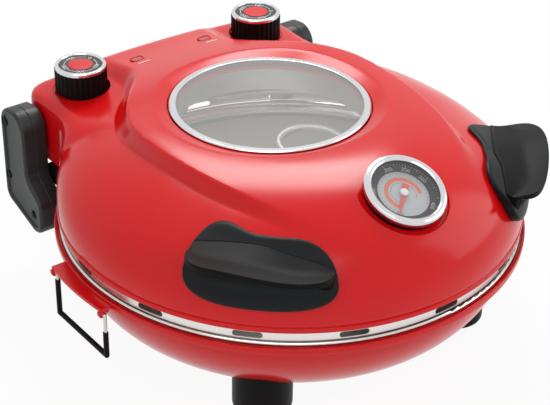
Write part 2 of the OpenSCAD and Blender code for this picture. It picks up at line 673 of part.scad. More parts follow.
seat_in = window_r + 0.9 - seat_half;
module at_window() at_rim() translate([0, window_y, 0]) children();
module window_collar() color("silver") at_window() {
    top = ring_seat_z - 2.55;
    low = ceiling_z + 0.05;
    a = seat_in;
    b = collar_r - 1;
    m = (a + b) / 2;
    rotate_extrude($fn = smooth) polygon([
        [a + 5, top], [a, top], [a, top - 8.5], [m, top - 8.5], [m, top - 15.5], [b, top - 15.5], [b, low],
        [b + 5, low], [b + 5, low + 1], [b + 1, low + 1], [b + 1, top - 14.5], [m + 1, top - 14.5],
        [m + 1, top - 7.5], [a + 1, top - 7.5], [a + 1, top - 1], [a + 5, top - 1]]);
}
gasket_t = 1.5;
module window_gasket() color("black") at_window() translate([0, 0, ring_seat_z]) difference() {
    cylinder(r = window_r - 1.2, h = gasket_t, $fn = smooth);
    translate([0, 0, -1]) cylinder(r = seat_in + 0.3, h = gasket_t + 2, $fn = smooth);
}
module window_glass() color("lightblue", 0.4) at_window() translate([0, 0, ring_seat_z + gasket_t])
    cylinder(r = window_r - 1.5, h = glass_t, $fn = smooth);
module window_ring() color("gainsboro") at_window() {
    under = ring_seat_z + gasket_t + glass_t;
    rotate_extrude($fn = smooth) polygon([
        [window_r - 5.5, under], [window_r - 5.5, under + 0.6], [window_r - 4.9, under + 1],
        [window_r - 0.9, under + 1], [window_r, under + 0.1], [window_r, ring_seat_z], [window_r - 1, ring_seat_z],
        [window_r - 1, under]]);
}

// plate that closes the control box from below, behind the round rim
module control_cover() color("firebrick") at_rim() translate([0, 0, 0.5]) difference() {
    linear_extrude(2) polygon(concat([[0, window_y]],
        [for (k = [12 : grid_turns / 2 - 12]) let (f = 360 * k / grid_turns) polar(lid_reach(f) - flange_t - 0.5, f)]));
    translate([0, 0, -1]) cylinder(r = skirt_r + 0.4, h = 4, $fn = smooth);
    for (side = [-1, 1], i = [0 : 4]) translate([side * (78 + i * 8) - 1.5, 164, -1]) cube([3, 16, 4]);
}

// ---------- handles ----------

handle_f = atan2(-170 * cos(handle_deg) - window_y, 170 * sin(handle_deg));
handle_span = handle_half_w / 190 * 180 / PI;
handle_top = 56;
handle_low = 18;
handle_mid = 34;
plate_t = 3.5;
function ring_reach(f, r) = let (b = window_y * sin(f)) -b + sqrt(b * b - window_y * window_y + r * r);

// point at height z and distance out from the lid's surface, as [distance, height]
function off_lid(z, f, out) =
    let (a = [lid_d(z - 1, f), z - 1], b = [lid_d(z + 1, f), z + 1], t = (b - a) / norm(b - a))
    [lid_d(z, f) + out * t[1], z - out * t[0]];

// plate thickness: it swells where the grip grows out of it
function plate_out(z) = plate_t + 4 * ease((z - 14) / 16) * (1 - ease((z - 38) / 14));

function plate_section(t) =
    let (f = handle_f + t * handle_span, edge = pow(1 - pow(abs(t), 4.5), 1 / 3.2),
         hi = handle_mid + (handle_top - handle_mid - 2 * (1 - ease(abs(t) / 0.6))) * edge,
         lo = handle_mid - (handle_mid - handle_low) * pow(1 - pow(abs(t), 3.2), 1 / 2.2),
         zs = [for (i = [0 : 7]) lo + (hi - lo) * i / 7])
    [for (p = concat([for (z = zs) off_lid(z, f, plate_out(z))],
                     [for (i = [7 : -1 : 0]) off_lid(zs[i], f, 0.9)]))
        [p[0] * cos(f), window_y + p[0] * sin(f), p[1]]];

// the grip is a shelf: it leaves the plate along a bowed ridge, and its edge dips towards the front
function grip_section(t) =
    let (f = handle_f + t * handle_span * 0.97, root = grip_h - 10 * t * t, low = root - 8,
         edge = grip_h + 3.5 - 6 * ease(0.5 - 0.9 * t), under = edge - grip_t,
         a = off_lid(root - 2, f, plate_out(root - 2) + 0.7), b = off_lid(low - 6, f, plate_out(low - 6) + 0.6),
         in_top = max(a[0], b[0]), far = ring_reach(f, grip_reach) - 26,
         out = max(b[0] + 5.5, far + 26 * pow(1 - pow(abs(t), 4), 1 / 2.4)))
    [for (p = [[b[0], low], [out - 4, under], [out - 1, under + 1], [out, under + 2],
               [out, edge - 1.2], [out - 1.5, edge], [in_top, root]])
        [p[0] * cos(f), window_y + p[0] * sin(f), p[1]]];

handle_steps = [for (i = [-10 : 10]) sign(i) * pow(abs(i) / 10, 0.8) * 0.985];
module handle_plate() at_rim() loft([for (t = handle_steps) plate_section(t)]);
module handle_grip() at_rim() loft([for (t = handle_steps) grip_section(t)]);
module handle_right_plate() color("black") handle_plate();
module handle_right_grip() color("black") handle_grip();
module handle_left_plate() color("black") left_twin() handle_plate();
module handle_left_grip() color("black") left_twin() handle_grip();

// ---------- gauge ----------

probe_r = 2.5;
spindle_r = 1;
module gauge_case() color("black") at_gauge() rotate_extrude($fn = smooth) polygon([
    [probe_r + 0.05, -gauge_depth], [gauge_case_r, -gauge_depth], [gauge_case_r, 0], [gauge_case_r - 1, 0],
    [gauge_case_r - 1, -gauge_depth + 1], [probe_r + 0.05, -gauge_depth + 1]]);
module gauge_dial() color("dimgray") at_gauge() translate([0, 0, dial_z - 1]) difference() {
    cylinder(r = gauge_case_r - 1.1, h = 1, $fn = smooth);
    translate([0, 0, -1]) cylinder(r = spindle_r + 0.3, h = 3, $fn = 32);
}
module gauge_bezel() color("gainsboro") at_gauge() rotate_extrude($fn = smooth) polygon([
    [gauge_case_r + 0.1, -4], [gauge_r, -4], [gauge_r, -0.8], [gauge_r - 0.9, 0.7], [gauge_r - 2.4, 1.3],
    [gauge_r - 4.2, 1.1], [gauge_r - 5.4, 0.1], [gauge_case_r + 0.1, 0.1]]);
module gauge_glass() color("lightblue", 0.4) at_gauge() translate([0, 0, -1.3])
    cylinder(r = gauge_case_r - 1.1, h = 1.3, $fn = smooth);
module gauge_probe() color("silver") at_gauge() difference() {
    union() {
        translate([0, 0, -gauge_depth - probe_len])
            cylinder(r = probe_r, h = probe_len + gauge_depth + dial_z - 1.2, $fn = 32);
        translate([0, 0, -gauge_depth - 2.6]) cylinder(r = probe_r + 4, h = 2.5, $fn = 6);
    }
    translate([0, 0, dial_z - 7]) cylinder(r = spindle_r + run_c, h = 10, $fn = 32);
}
module gauge_needle() color("red") at_gauge() rotate([0, 0, needle_turn]) {
    translate([0, 0, dial_z - 6]) cylinder(r = spindle_r, h = 8, $fn = 32);
    translate([0, 0, dial_z + 1]) linear_extrude(0.6)
        polygon([[needle_len, 0.3], [needle_len, -0.3], [0, -1.7], [-8, -2.6], [-8, 2.6], [0, 1.7]]);
    translate([0, 0, dial_z + 1]) cylinder(r = 2, h = 1.2, $fn = 32);
}

// ---------- controls ----------

module thermostat(side) color("ivory") at_rim() difference() {
    union() {
        translate([side * knob_x - 15, knob_y - 15, pad_z - 24]) cube([30, 30, 20]);
        translate([side * knob_x, knob_y, pad_z - 5]) cylinder(r = bush_r, h = knob_floor + 2 - pad_z + 5, $fn = 48);
    }
    translate([side * knob_x, knob_y, pad_z - 16]) cylinder(r = shaft_r + run_c, h = 60, $fn = 32);
}
module thermostat_left() thermostat(-1);
module thermostat_right() thermostat(1);

function rib_outline(r) = [for (i = [0 : knob_ribs * 6 - 1]) let (a = 60 * i / knob_ribs)
    (r - 0.45 + 0.45 * cos(knob_ribs * a)) * [cos(a), sin(a)]];
module knob_body(side) color("black") at_knob(side) {
    difference() {
        translate([0, 0, knob_gap]) linear_extrude(knob_h - 3.2 - knob_gap) polygon(rib_outline(knob_r + 0.6));
        translate([0, 0, -1]) cylinder(r = knob_r - 2.5, h = knob_h - 8, $fn = smooth);
    }
    translate([0, 0, -14]) cylinder(r = shaft_r, h = 14 + knob_h - 8, $fn = 32);
    translate([0, 0, 2.6]) cylinder(r = shaft_r + 3, h = knob_h - 10.4, $fn = 48);
}
module knob_ring(side) color("gainsboro") at_knob(side) translate([0, 0, knob_h - 3.2]) rotate_extrude($fn = smooth)
    polygon([[0, 0], [knob_r, 0], [knob_r, 2.2], [knob_r - 0.9, 3.2], [knob_r - 2.6, 3.2], [knob_r - 3.2, 2.4],
             [knob_r - 3.2, 1.4], [0, 1.4]]);
module knob_disc(side) color("dimgray") at_knob(side) translate([0, 0, knob_h - 1.8])
    cylinder(r = knob_r - 3.3, h = 0.9, $fn = smooth);
module knob_left() knob_body(-1);
module knob_left_ring() knob_ring(-1);
module knob_left_disc() knob_disc(-1);
module knob_right() knob_body(1);
module knob_right_ring() knob_ring(1);
module knob_right_disc() knob_disc(1);

lamp_z = plateau(lamp_x, lamp_y);
module lamp_form(inwards, h) let (w = lamp_w / 2 - inwards, l = lamp_l / 2 - inwards) linear_extrude(h)
    polygon(outline([for (p = [[-w, -l], [w, -l], [w, l], [-w, l]]) [p, 2.6 - inwards]]));
module lamp_bezels() color("firebrick") for (side = [-1, 1]) at_lamp(side) translate([0, 0, lamp_z - 8]) difference() {
    lamp_form(0.1, 9);
    translate([0, 0, -1]) lamp_form(1, 12);
}
module lamp_lenses() color("red") for (side = [-1, 1]) at_lamp(side) translate([0, 0, lamp_z - 8]) lamp_form(1.1, 8.6);

// ---------- assembly ----------
base_bowl();
base_pan();
lower_heater();
lower_heater_clips();
baking_stone();
foot_front_left();
foot_front_right();
foot_rear_left();
foot_rear_right();
foot_screws();
foot_nuts();
cord_gland();
terminal_block();
bail_tab();
bail_wire();
bail_sleeve();
arm_left_inner();
arm_left_outer();
arm_right_inner();
arm_right_outer();
arm_screws();
arm_brackets();
hinge_pin_left();
hinge_pin_right();
hinge_hanger_left();
hinge_hanger_right();
lid_shell();
lid_pan();
upper_heater();
upper_heater_clips();
window_collar();
window_gasket();
window_glass();
window_ring();
control_cover();
handle_left_plate();
handle_left_grip();
handle_right_plate();
handle_right_grip();
gauge_case();
gauge_dial();
gauge_bezel();
gauge_glass();
gauge_probe();
gauge_needle();
thermostat_left();
thermostat_right();
knob_left();
knob_left_ring();
knob_left_disc();
knob_right();
knob_right_ring();
knob_right_disc();
lamp_bezels();
lamp_lenses();
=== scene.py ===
"""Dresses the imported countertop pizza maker: enamelled lid and bowl, steel rims, knobs, thermometer, handles and arms.

Sizes in the tables below are millimetres. "Rim frame" means measured from the middle of the lower edge of the lid's
rim, which lies RIM_X and RIM_Y beside the origin and RIM_Z above the table. Every piece is written into its mesh in
metres, where it stands on the object.
"""
import bmesh
import bpy
import math
import numpy as np
from mathutils import Matrix, Vector


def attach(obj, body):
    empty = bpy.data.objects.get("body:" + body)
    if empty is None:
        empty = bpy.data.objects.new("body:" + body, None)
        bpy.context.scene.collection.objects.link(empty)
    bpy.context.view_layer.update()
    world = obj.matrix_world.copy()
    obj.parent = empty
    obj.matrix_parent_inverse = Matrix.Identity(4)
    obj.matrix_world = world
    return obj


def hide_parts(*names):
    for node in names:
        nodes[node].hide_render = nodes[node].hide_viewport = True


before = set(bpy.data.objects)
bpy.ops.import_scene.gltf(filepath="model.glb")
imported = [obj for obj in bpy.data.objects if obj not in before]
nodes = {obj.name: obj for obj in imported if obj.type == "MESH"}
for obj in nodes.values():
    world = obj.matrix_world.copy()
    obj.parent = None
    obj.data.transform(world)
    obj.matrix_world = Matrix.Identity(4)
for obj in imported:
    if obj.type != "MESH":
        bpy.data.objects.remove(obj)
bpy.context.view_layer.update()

MM = 0.001

# Rim and shell
RIM_X, RIM_Y, RIM_Z = 4.5, -6.7, 95.5
RIM_R = 176.0
SHELL_T = 3.0
FLANGE_Z, FLANGE_T = 8.0, 1.7

# Form of the lid: crown, control box, and the drops that its hood, its shoulders and its flat pad fall by
CROWN_H, CROWN_FLAT = 75.0, 88.0
BOX_HALF_W, BOX_BACK, BOX_CORNER, NECK_BLEND = 119.5, 192.0, 16.0, 12.0
SIDE_DROP, SIDE_HALF = 4.5, 110.0
HOOD_DROP, HOOD_FROM, HOOD_LEN = 18.5, 75.0, 135.0
STEP_DROP, STEP_FROM, STEP_LEN = 10.0, -150.0, 130.0
PAD_DROP, PAD_LEN = 9.3, 130.0
HOOD_MID_Y = 30.0
CREST_LINE = {"half": 106.5, "length": 190.0, "inwards": 61.0, "back": 120.0, "bend": 1.3}
FOOT_LINE = {"half": 111.0, "length": 225.0, "inwards": 50.0, "back": 113.0, "bend": 1.8}
FRONT_POWER, SIDE_GAIN, CORNER_GAIN = 2.2, 1.4, 21.0

# Window, gauge, knobs and lamps
WINDOW_Y, WINDOW_R, WINDOW_GAP = 26.6, 76.3, 0.9
RING_SEAT, SEAT_W, SEAT_T, BEVEL_FROM = 64.5, 4.6, 2.5, 69.3
GAUGE_Y, GAUGE_H, GAUGE_TILT = 128.8, 69.8, 25.0
KNOB_X, KNOB_Y, KNOB_FLOOR, KNOB_H = 84.9, 160.0, 51.0, 22.5
LAMP_X, LAMP_Y, LAMP_W, LAMP_L = 32.6, 160.5, 11.5, 7.5

# Bowl, feet, hinge and arms
BOWL_FLAT_R, BOWL_SPREAD, BOWL_TOP, BOWL_DEPTH, BOWL_T, BOWL_POWER = 110.0, 61.0, -18.0, 62.0, 1.5, 1.75
FOOT_X, FOOT_Y = 93.5, 92.0
HINGE_Y, HINGE_H, PIN_R = 174.0, 20.0, 4.0
ARM_Y, ARM_IN, ARM_OUT = 169.0, 122.3, 143.3

# Handles: direction, half spans as angles from the window's centre, heights on the lid, and reach
HANDLE_DEG, HANDLE_STAND = 45.0, 170.0
HANDLE_SPAN, GRIP_SPAN = 52.0 / 190.0, 0.95
HANDLE_MID, HANDLE_UP, HANDLE_DOWN = 34.0, 22.0, 16.0
PLATE_T, PLATE_SINK, EDGE_R = 3.5, 0.9, 2.0
GRIP_ROOT, GRIP_TIP, GRIP_REACH, GRIP_CORNER = 52.4, 55.5, 190.5, 26.0

# ---------------------------------------------------------------- numbers

def ease(t):
    """Smooth step: 0 below 0, 1 above 1, and 3 t squared minus 2 t cubed between."""
    c = np.clip(t, 0.0, 1.0)
    return c * c * (3.0 - 2.0 * c)


def soft_min(a, b, k):
    """The smaller of a and b, rounded over a width k where they cross."""
    h = np.clip(0.5 + (b - a) / (2.0 * k), 0.0, 1.0)
    return b * (1.0 - h) + a * h - k * h * (1.0 - h)


def circle(n, start=0.0):
    """n angles evenly round a circle, in radians."""
    return np.arange(n) * 2.0 * math.pi / n + start


def corner_arc(before, corner, after, radius, n):
    """n + 1 points of an arc that is tangent to both sides of a corner, and half the angle between the sides. The
    arc takes no more than 0.49 of either side."""
    b = np.array(corner, float)
    u, v = np.array(before) - b, np.array(after) - b
    lu, lv = np.linalg.norm(u), np.linalg.norm(v)
    u, v = u / lu, v / lv
    half = math.acos(np.clip(u @ v, -1, 1)) / 2
    reach = min(radius / math.tan(half), 0.49 * lu, 0.49 * lv)
    r = reach * math.tan(half)
    mid = b + (u + v) / np.linalg.norm(u + v) * r / math.sin(half)
    p, q = b + u * reach - mid, b + v * reach - mid
    start = math.atan2(p[1], p[0])
    turn = (math.atan2(q[1], q[0]) - start + math.pi) % (2 * math.pi) - math.pi
    a = start + turn * np.linspace(0, 1, n + 1)
    return mid + r * np.stack([np.cos(a), np.sin(a)], -1), half


def rounded(corners, n=10):
    """Closed outline of (x, y, radius) corners: each is replaced by an arc of its radius, tangent to both sides."""
    count = len(corners)
    return np.concatenate([corner_arc(corners[i - 1][:2], corners[i][:2], corners[(i + 1) % count][:2], corners[i][2],
                                      n)[0] for i in range(count)])


def shrink(outline, d):
    """The outline moved inwards by d: each point goes along the mean normal of its two sides."""
    along = np.roll(outline, -1, 0) - np.roll(outline, 1, 0)
    along /= np.linalg.norm(along, axis=1, keepdims=True) + 1e-12
    area = np.sum(outline[:, 0] * np.roll(outline[:, 1], -1) - np.roll(outline[:, 0], -1) * outline[:, 1])
    return outline + np.sign(area) * d * np.stack([-along[:, 1], along[:, 0]], -1)


# ---------------------------------------------------------------- meshes

def quads(rows, cols, round_rows=False, round_cols=False):
    """Faces of a grid of rows by cols points, joined up round its rows or columns where asked."""
    i = np.arange(rows if round_rows else rows - 1)[:, None]
    j = np.arange(cols if round_cols else cols - 1)[None, :]
    a, b = i * cols + j, i * cols + (j + 1) % cols
    c, d = ((i + 1) % rows) * cols + (j + 1) % cols, ((i + 1) % rows) * cols + j
    return np.stack([a, b, c, d], -1).reshape(-1, 4)


def at_rim(points):
    """Rim frame to the row's frame, in millimetres."""
    return np.asarray(points, float) + np.array([RIM_X, RIM_Y, RIM_Z])


def at_gauge(points):
    """The gauge's own frame, with z out of its face, to the row's frame: a tilt about X, then a shift."""
    a = math.radians(GAUGE_TILT)
    p = np.asarray(points, float)
    y = p[..., 1] * math.cos(a) - p[..., 2] * math.sin(a)
    z = p[..., 1] * math.sin(a) + p[..., 2] * math.cos(a)
    return at_rim(np.stack([p[..., 0], y - GAUGE_Y, z + GAUGE_H], -1))


def shifted(place, *shift):
    """A function that moves points by shift and then places them."""
    return lambda points: place(np.asarray(points, float) + np.array(shift))


def at_knob(side):
    """A function from a knob's own frame, with z up from its recess floor, to the row's frame."""
    return shifted(at_rim, side * KNOB_X, KNOB_Y, KNOB_FLOOR)


def piece(name, points, faces, finish, body, stands_for=(), slot=None, sharp=38.0, outwards=True):
    """One object of the dressed part: millimetre points and faces become a clean mesh that rides on a body."""
    mesh = bpy.data.meshes.new(name)
    pts = np.asarray(points, float).reshape(-1, 3) * MM
    mesh.from_pydata(pts.tolist(), [], faces if isinstance(faces, list) else faces.tolist())
    work = bmesh.new()
    work.from_mesh(mesh)
    bmesh.ops.remove_doubles(work, verts=work.verts, dist=2e-6)
    bmesh.ops.dissolve_degenerate(work, edges=work.edges, dist=1e-7)
    if outwards:
        bmesh.ops.recalc_face_normals(work, faces=work.faces)
    work.to_mesh(mesh)
    work.free()
    mesh.polygons.foreach_set("use_smooth", np.ones(len(mesh.polygons), bool))
    mesh.set_sharp_from_angle(angle=math.radians(sharp))
    mesh.materials.append(finish)
    obj = bpy.data.objects.new(name, mesh)
    bpy.context.scene.collection.objects.link(obj)
    if body:
        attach(obj, body)
    if stands_for:
        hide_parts(*stands_for)
    return obj


def turned(profile, steps, place=at_rim):
    """Points of a turned shape: each (radius, height) of the profile carried round the z axis, as a grid of rows."""
    prof = np.asarray(profile, float)
    a = circle(steps)[None, :]
    r = prof[:, 0:1] + 0.0 * a
    grid = np.stack([r * np.cos(a), r * np.sin(a), prof[:, 1:2] + 0.0 * a], -1)
    return place(grid), quads(len(prof), steps, False, True)


def closed_turn(profile, steps, place=at_rim):
    """A turned shape whose profile is a closed loop, such as a ring."""
    return turned(profile, steps, place)[0], quads(len(profile), steps, True, True)


NEARLY_STRAIGHT = 1.55


def smooth_profile(corners, n=5):
    """A (radius, height, corner radius) profile with each inner corner rounded by an arc, unless it is sharp or
    nearly straight."""
    out = [np.array(corners[0][:2], float)[None]]
    for before, (x, y, radius), after in zip(corners, corners[1:], corners[2:]):
        arc, half = corner_arc(before[:2], (x, y), after[:2], radius, n)
        out.append(arc if radius > 0 and half <= NEARLY_STRAIGHT else np.array([[x, y]], float))
    out.append(np.array(corners[-1][:2], float)[None])
    return np.concatenate(out)


def layered(outline, layers, place):
    """A plate with an outline in (u, v) and rounded edges: layers of (inset, height), closed by flat faces."""
    rows = [np.concatenate([shrink(outline, d), np.full((len(outline), 1), h)], 1) for d, h in layers]
    n = len(outline)
    faces = quads(len(layers), n, False, True).tolist()
    faces.append(list(range(n))[::-1])
    faces.append([(len(layers) - 1) * n + k for k in range(n)])
    return place(np.array(rows)), faces


def join(*parts):
    """Several (points, faces) pairs as one."""
    points, faces, base = [], [], 0
    for p, f in parts:
        p = np.asarray(p, float).reshape(-1, 3)
        points.append(p)
        faces += [[int(k) + base for k in face] for face in (f if isinstance(f, list) else f.tolist())]
        base += len(p)
    return np.concatenate(points), faces


# ---------------------------------------------------------------- finishes

def socket(tree, name, kind, way, value=None):
    """One named input or output of a node group."""
    s = tree.interface.new_socket(name=name, in_out=way, socket_type=kind)
    if value is not None:
        s.default_value = value


def node(tree, kind, inputs=None, **settings):
    """A new shader node with its settings and its unlinked inputs."""
    n = tree.nodes.new(kind)
    for key, value in settings.items():
        setattr(n, key, value)
    for key, value in (inputs or {}).items():
        n.inputs[key].default_value = value
    return n


def chain(tree, operation, a, b=None, c=None, clamp=False):
    """A Math node: each argument is a socket or a number. Gives its output socket."""
    n = tree.nodes.new("ShaderNodeMath")
    n.operation = operation
    n.use_clamp = clamp
    for k, value in enumerate((a, b, c)):
        if value is None:
            continue
        if hasattr(value, "is_output"):
            tree.links.new(value, n.inputs[k])
        else:
            n.inputs[k].default_value = value
    return n.outputs[0]


def mould_grain_group():
    """Group: the fine even grain of moulded plastic. Puts out a height and a roughness around a middle value."""
    g = bpy.data.node_groups.new("mould grain", "ShaderNodeTree")
    socket(g, "Grain size", "NodeSocketFloat", "INPUT", 2500.0)
    socket(g, "Middle roughness", "NodeSocketFloat", "INPUT", 0.4)
    socket(g, "Variation", "NodeSocketFloat", "INPUT", 0.08)
    socket(g, "Height", "NodeSocketFloat", "OUTPUT")
    socket(g, "Roughness", "NodeSocketFloat", "OUTPUT")
    inp, out = g.nodes.new("NodeGroupInput"), g.nodes.new("NodeGroupOutput")
    where = g.nodes.new("ShaderNodeTexCoord")
    fine = node(g, "ShaderNodeTexNoise", {"Detail": 2.0, "Roughness": 0.6})
    broad = node(g, "ShaderNodeTexNoise", {"Scale": 22.0, "Detail": 3.0})
    g.links.new(where.outputs["Object"], fine.inputs["Vector"])
    g.links.new(where.outputs["Object"], broad.inputs["Vector"])
    g.links.new(inp.outputs["Grain size"], fine.inputs["Scale"])
    g.links.new(fine.outputs["Fac"], out.inputs["Height"])
    swing = chain(g, "MULTIPLY", chain(g, "SUBTRACT", broad.outputs["Fac"], 0.5), inp.outputs["Variation"])
    g.links.new(chain(g, "ADD", inp.outputs["Middle roughness"], chain(g, "MULTIPLY", swing, 2.0), clamp=True),
                out.inputs["Roughness"])
    return g


def round_brush_group():
    """Group: steel brushed in circles about the rim's axis: noise that changes with radius and height alone."""
    g = bpy.data.node_groups.new("round brush", "ShaderNodeTree")
    socket(g, "Line density", "NodeSocketFloat", "INPUT", 1400.0)
    socket(g, "Middle roughness", "NodeSocketFloat", "INPUT", 0.3)
    socket(g, "Height", "NodeSocketFloat", "OUTPUT")
    socket(g, "Roughness", "NodeSocketFloat", "OUTPUT")
    inp, out = g.nodes.new("NodeGroupInput"), g.nodes.new("NodeGroupOutput")
    where = g.nodes.new("ShaderNodeTexCoord")
    parts = g.nodes.new("ShaderNodeSeparateXYZ")
    centred = node(g, "ShaderNodeMapping", vector_type="POINT")
    centred.inputs["Location"].default_value = (-RIM_X * MM, -RIM_Y * MM, 0.0)
    g.links.new(where.outputs["Object"], centred.inputs["Vector"])
    g.links.new(centred.outputs[0], parts.inputs[0])
    across = chain(g, "SQRT", chain(g, "ADD", chain(g, "MULTIPLY", parts.outputs[0], parts.outputs[0]),
                                    chain(g, "MULTIPLY", parts.outputs[1], parts.outputs[1])))
    turn = chain(g, "ARCTAN2", parts.outputs[1], parts.outputs[0])
    spot = g.nodes.new("ShaderNodeCombineXYZ")
    g.links.new(chain(g, "MULTIPLY", across, inp.outputs["Line density"]), spot.inputs[0])
    g.links.new(chain(g, "MULTIPLY", parts.outputs[2], inp.outputs["Line density"]), spot.inputs[1])
    g.links.new(chain(g, "MULTIPLY", turn, 2.2), spot.inputs[2])
    lines = node(g, "ShaderNodeTexNoise", {"Scale": 1.0, "Detail": 3.0, "Roughness": 0.65})
    g.links.new(spot.outputs[0], lines.inputs["Vector"])
    g.links.new(lines.outputs["Fac"], out.inputs["Height"])
    swing = chain(g, "SUBTRACT", lines.outputs["Fac"], 0.5)
    g.links.new(chain(g, "ADD", inp.outputs["Middle roughness"], chain(g, "MULTIPLY", swing, 0.3), clamp=True),
                out.inputs["Roughness"])
    return g


def soft_edges_group():
    """Group: the normal that a surface would have if its sharp edges were rounded to a radius."""
    g = bpy.data.node_groups.new("soft edges", "ShaderNodeTree")
    socket(g, "Edge radius", "NodeSocketFloat", "INPUT", 0.0007)
    socket(g, "Normal", "NodeSocketVector", "OUTPUT")
    inp, out = g.nodes.new("NodeGroupInput"), g.nodes.new("NodeGroupOutput")
    bevel = node(g, "ShaderNodeBevel", samples=6)
    g.links.new(inp.outputs["Edge radius"], bevel.inputs["Radius"])
    g.links.new(bevel.outputs[0], out.inputs["Normal"])
    return g


MOULD_GRAIN = mould_grain_group()
ROUND_BRUSH = round_brush_group()
SOFT_EDGES = soft_edges_group()


def finish(name, color, roughness, metallic=0.0, grain=None, brush=None, edge=None, depth=0.00002, bump=0.3, vary=0.03,
           **gloss):
    """A finish for one material. grain is a grain size and brush a line density: one of them feeds roughness and bump.
    edge is the radius that sharp edges are rounded to. gloss holds more of the shader's own inputs."""
    mat = bpy.data.materials.new(name)
    mat.use_nodes = True
    t = mat.node_tree
    shader = t.nodes["Principled BSDF"]
    shader.inputs["Metallic"].default_value = metallic
    shader.inputs["Roughness"].default_value = roughness
    shader.inputs["Base Color"].default_value = (*color, 1.0)
    for key, value in gloss.items():
        shader.inputs[key.replace("_", " ")].default_value = value
    where = t.nodes.new("ShaderNodeTexCoord")
    tint = node(t, "ShaderNodeTexNoise", {"Scale": 9.0, "Detail": 4.0})
    t.links.new(where.outputs["Object"], tint.inputs["Vector"])
    ramp = node(t, "ShaderNodeMix", data_type="RGBA", blend_type="MIX")
    ramp.inputs[6].default_value = (*[c * (1 - vary) for c in color], 1.0)
    ramp.inputs[7].default_value = (*[min(1.0, c * (1 + vary)) for c in color], 1.0)
    t.links.new(tint.outputs["Fac"], ramp.inputs[0])
    t.links.new(ramp.outputs[2], shader.inputs["Base Color"])
    height = None
    if grain or brush:
        g = t.nodes.new("ShaderNodeGroup")
        g.node_tree = MOULD_GRAIN if grain else ROUND_BRUSH
        g.inputs[0].default_value = grain or brush
        g.inputs["Middle roughness"].default_value = roughness
        t.links.new(g.outputs["Roughness"], shader.inputs["Roughness"])
        height = g.outputs["Height"]
    soft = None
    if edge:
        soft = t.nodes.new("ShaderNodeGroup")
        soft.node_tree = SOFT_EDGES
        soft.inputs[0].default_value = edge
    if height is not None:
        b = node(t, "ShaderNodeBump", {"Strength": bump, "Distance": depth})
        t.links.new(height, b.inputs["Height"])
        if soft:
            t.links.new(soft.outputs[0], b.inputs["Normal"])
        t.links.new(b.outputs[0], shader.inputs["Normal"])
    elif soft:
        t.links.new(soft.outputs[0], shader.inputs["Normal"])
    return mat


def glass_finish(name, tint, clear, gain):
    """Pane: mostly see-through face on, where a pale tint covers part of it, and more of a mirror at a slant, by
    Fresnel into Alpha on the side that is met first. The pale face-on tint is painted haze: it stands in for light
    reflected off the pane and for the light behind it."""
    mat = bpy.data.materials.new(name)
    mat.use_nodes = True
    t = mat.node_tree
    shader = t.nodes["Principled BSDF"]
    shader.inputs["Base Color"].default_value = (*tint, 1.0)
    shader.inputs["Roughness"].default_value = 0.02
    shader.inputs["Specular IOR Level"].default_value = 1.0
    lean = node(t, "ShaderNodeFresnel", {"IOR": 1.45})
    front = chain(t, "SUBTRACT", 1.0, t.nodes.new("ShaderNodeNewGeometry").outputs["Backfacing"])
    shown = chain(t, "ADD", clear, chain(t, "MULTIPLY", lean.outputs[0], gain))
    t.links.new(chain(t, "MULTIPLY", shown, front, clamp=True), shader.inputs["Alpha"])
    return mat


RED = finish("red lacquer", (0.70, 0.004, 0.006), 0.19, grain=900.0, edge=0.0008, depth=0.00001, bump=0.05,
             Specular_IOR_Level=0.3)
RED_BASE = finish("red enamel bowl", (0.68, 0.004, 0.006), 0.19, grain=900.0, edge=0.0006, depth=0.00001, bump=0.05,
                  Specular_IOR_Level=0.3)
BLACK = finish("black moulding", (0.005, 0.004, 0.004), 0.42, grain=3000.0, edge=0.0006, Specular_IOR_Level=0.08)
DARK = finish("dark moulding", (0.008, 0.009, 0.010), 0.42, grain=3000.0, edge=0.0007, Specular_IOR_Level=0.14)
GREY = finish("dark grey moulding", (0.022, 0.025, 0.026), 0.4, grain=3000.0, edge=0.0007, Specular_IOR_Level=0.3)
STEEL = finish("brushed steel", (0.62, 0.61, 0.59), 0.25, 1.0, brush=1400.0, edge=0.0003)
PAN = finish("bright pan steel", (0.78, 0.77, 0.75), 0.3, 1.0, brush=900.0)
CHROME = finish("chrome", (0.66, 0.66, 0.67), 0.12, 1.0, grain=1500.0, edge=0.0004, bump=0.02)
TUBE = finish("heater sheath", (0.5, 0.49, 0.47), 0.32, 1.0, grain=1500.0)
ZINC = finish("zinc plate", (0.6, 0.6, 0.58), 0.35, 1.0, grain=1800.0)
STONE = finish("baking stone", (0.78, 0.75, 0.68), 0.45, grain=1200.0, vary=0.06)
RUBBER = finish("black rubber", (0.02, 0.02, 0.02), 0.7, grain=2500.0)
CERAMIC = finish("white ceramic", (0.7, 0.68, 0.63), 0.5, grain=1500.0)
LENS = finish("red lens", (0.4, 0.006, 0.01), 0.1, vary=0.02, Coat_Weight=1.0)
WHITE_PRINT = finish("white print", (0.85, 0.85, 0.84), 0.5)
CAP_RED = finish("red print", (0.66, 0.02, 0.02), 0.4, grain=2500.0, edge=0.0002, Specular_IOR_Level=0.25)
DIAL_PALE = finish("pale dial paper", (0.5, 0.52, 0.54), 0.45, grain=4000.0)
DIAL_DARK = finish("charcoal dial paper", (0.05, 0.05, 0.055), 0.45, grain=4000.0, Specular_IOR_Level=0.2)
DIAL_INK = finish("dark dial ink", (0.05, 0.055, 0.07), 0.5)
DIAL_PRINT = finish("pale dial ink", (0.5, 0.52, 0.54), 0.5)
DIAL_ARC = finish("red dial ink", (0.75, 0.2, 0.09), 0.45)
NEEDLE = finish("needle enamel", (0.8, 0.1, 0.08), 0.35, grain=3000.0)
# The window's pale tint, shown at 0.24 face on, is painted haze that stands in for reflected light and for the light
# inside the oven
GLASS = glass_finish("window glass", (0.92, 0.92, 0.9), 0.24, 0.8)
GAUGE_GLASS = glass_finish("gauge glass", (0.8, 0.8, 0.8), 0.05, 1.2)


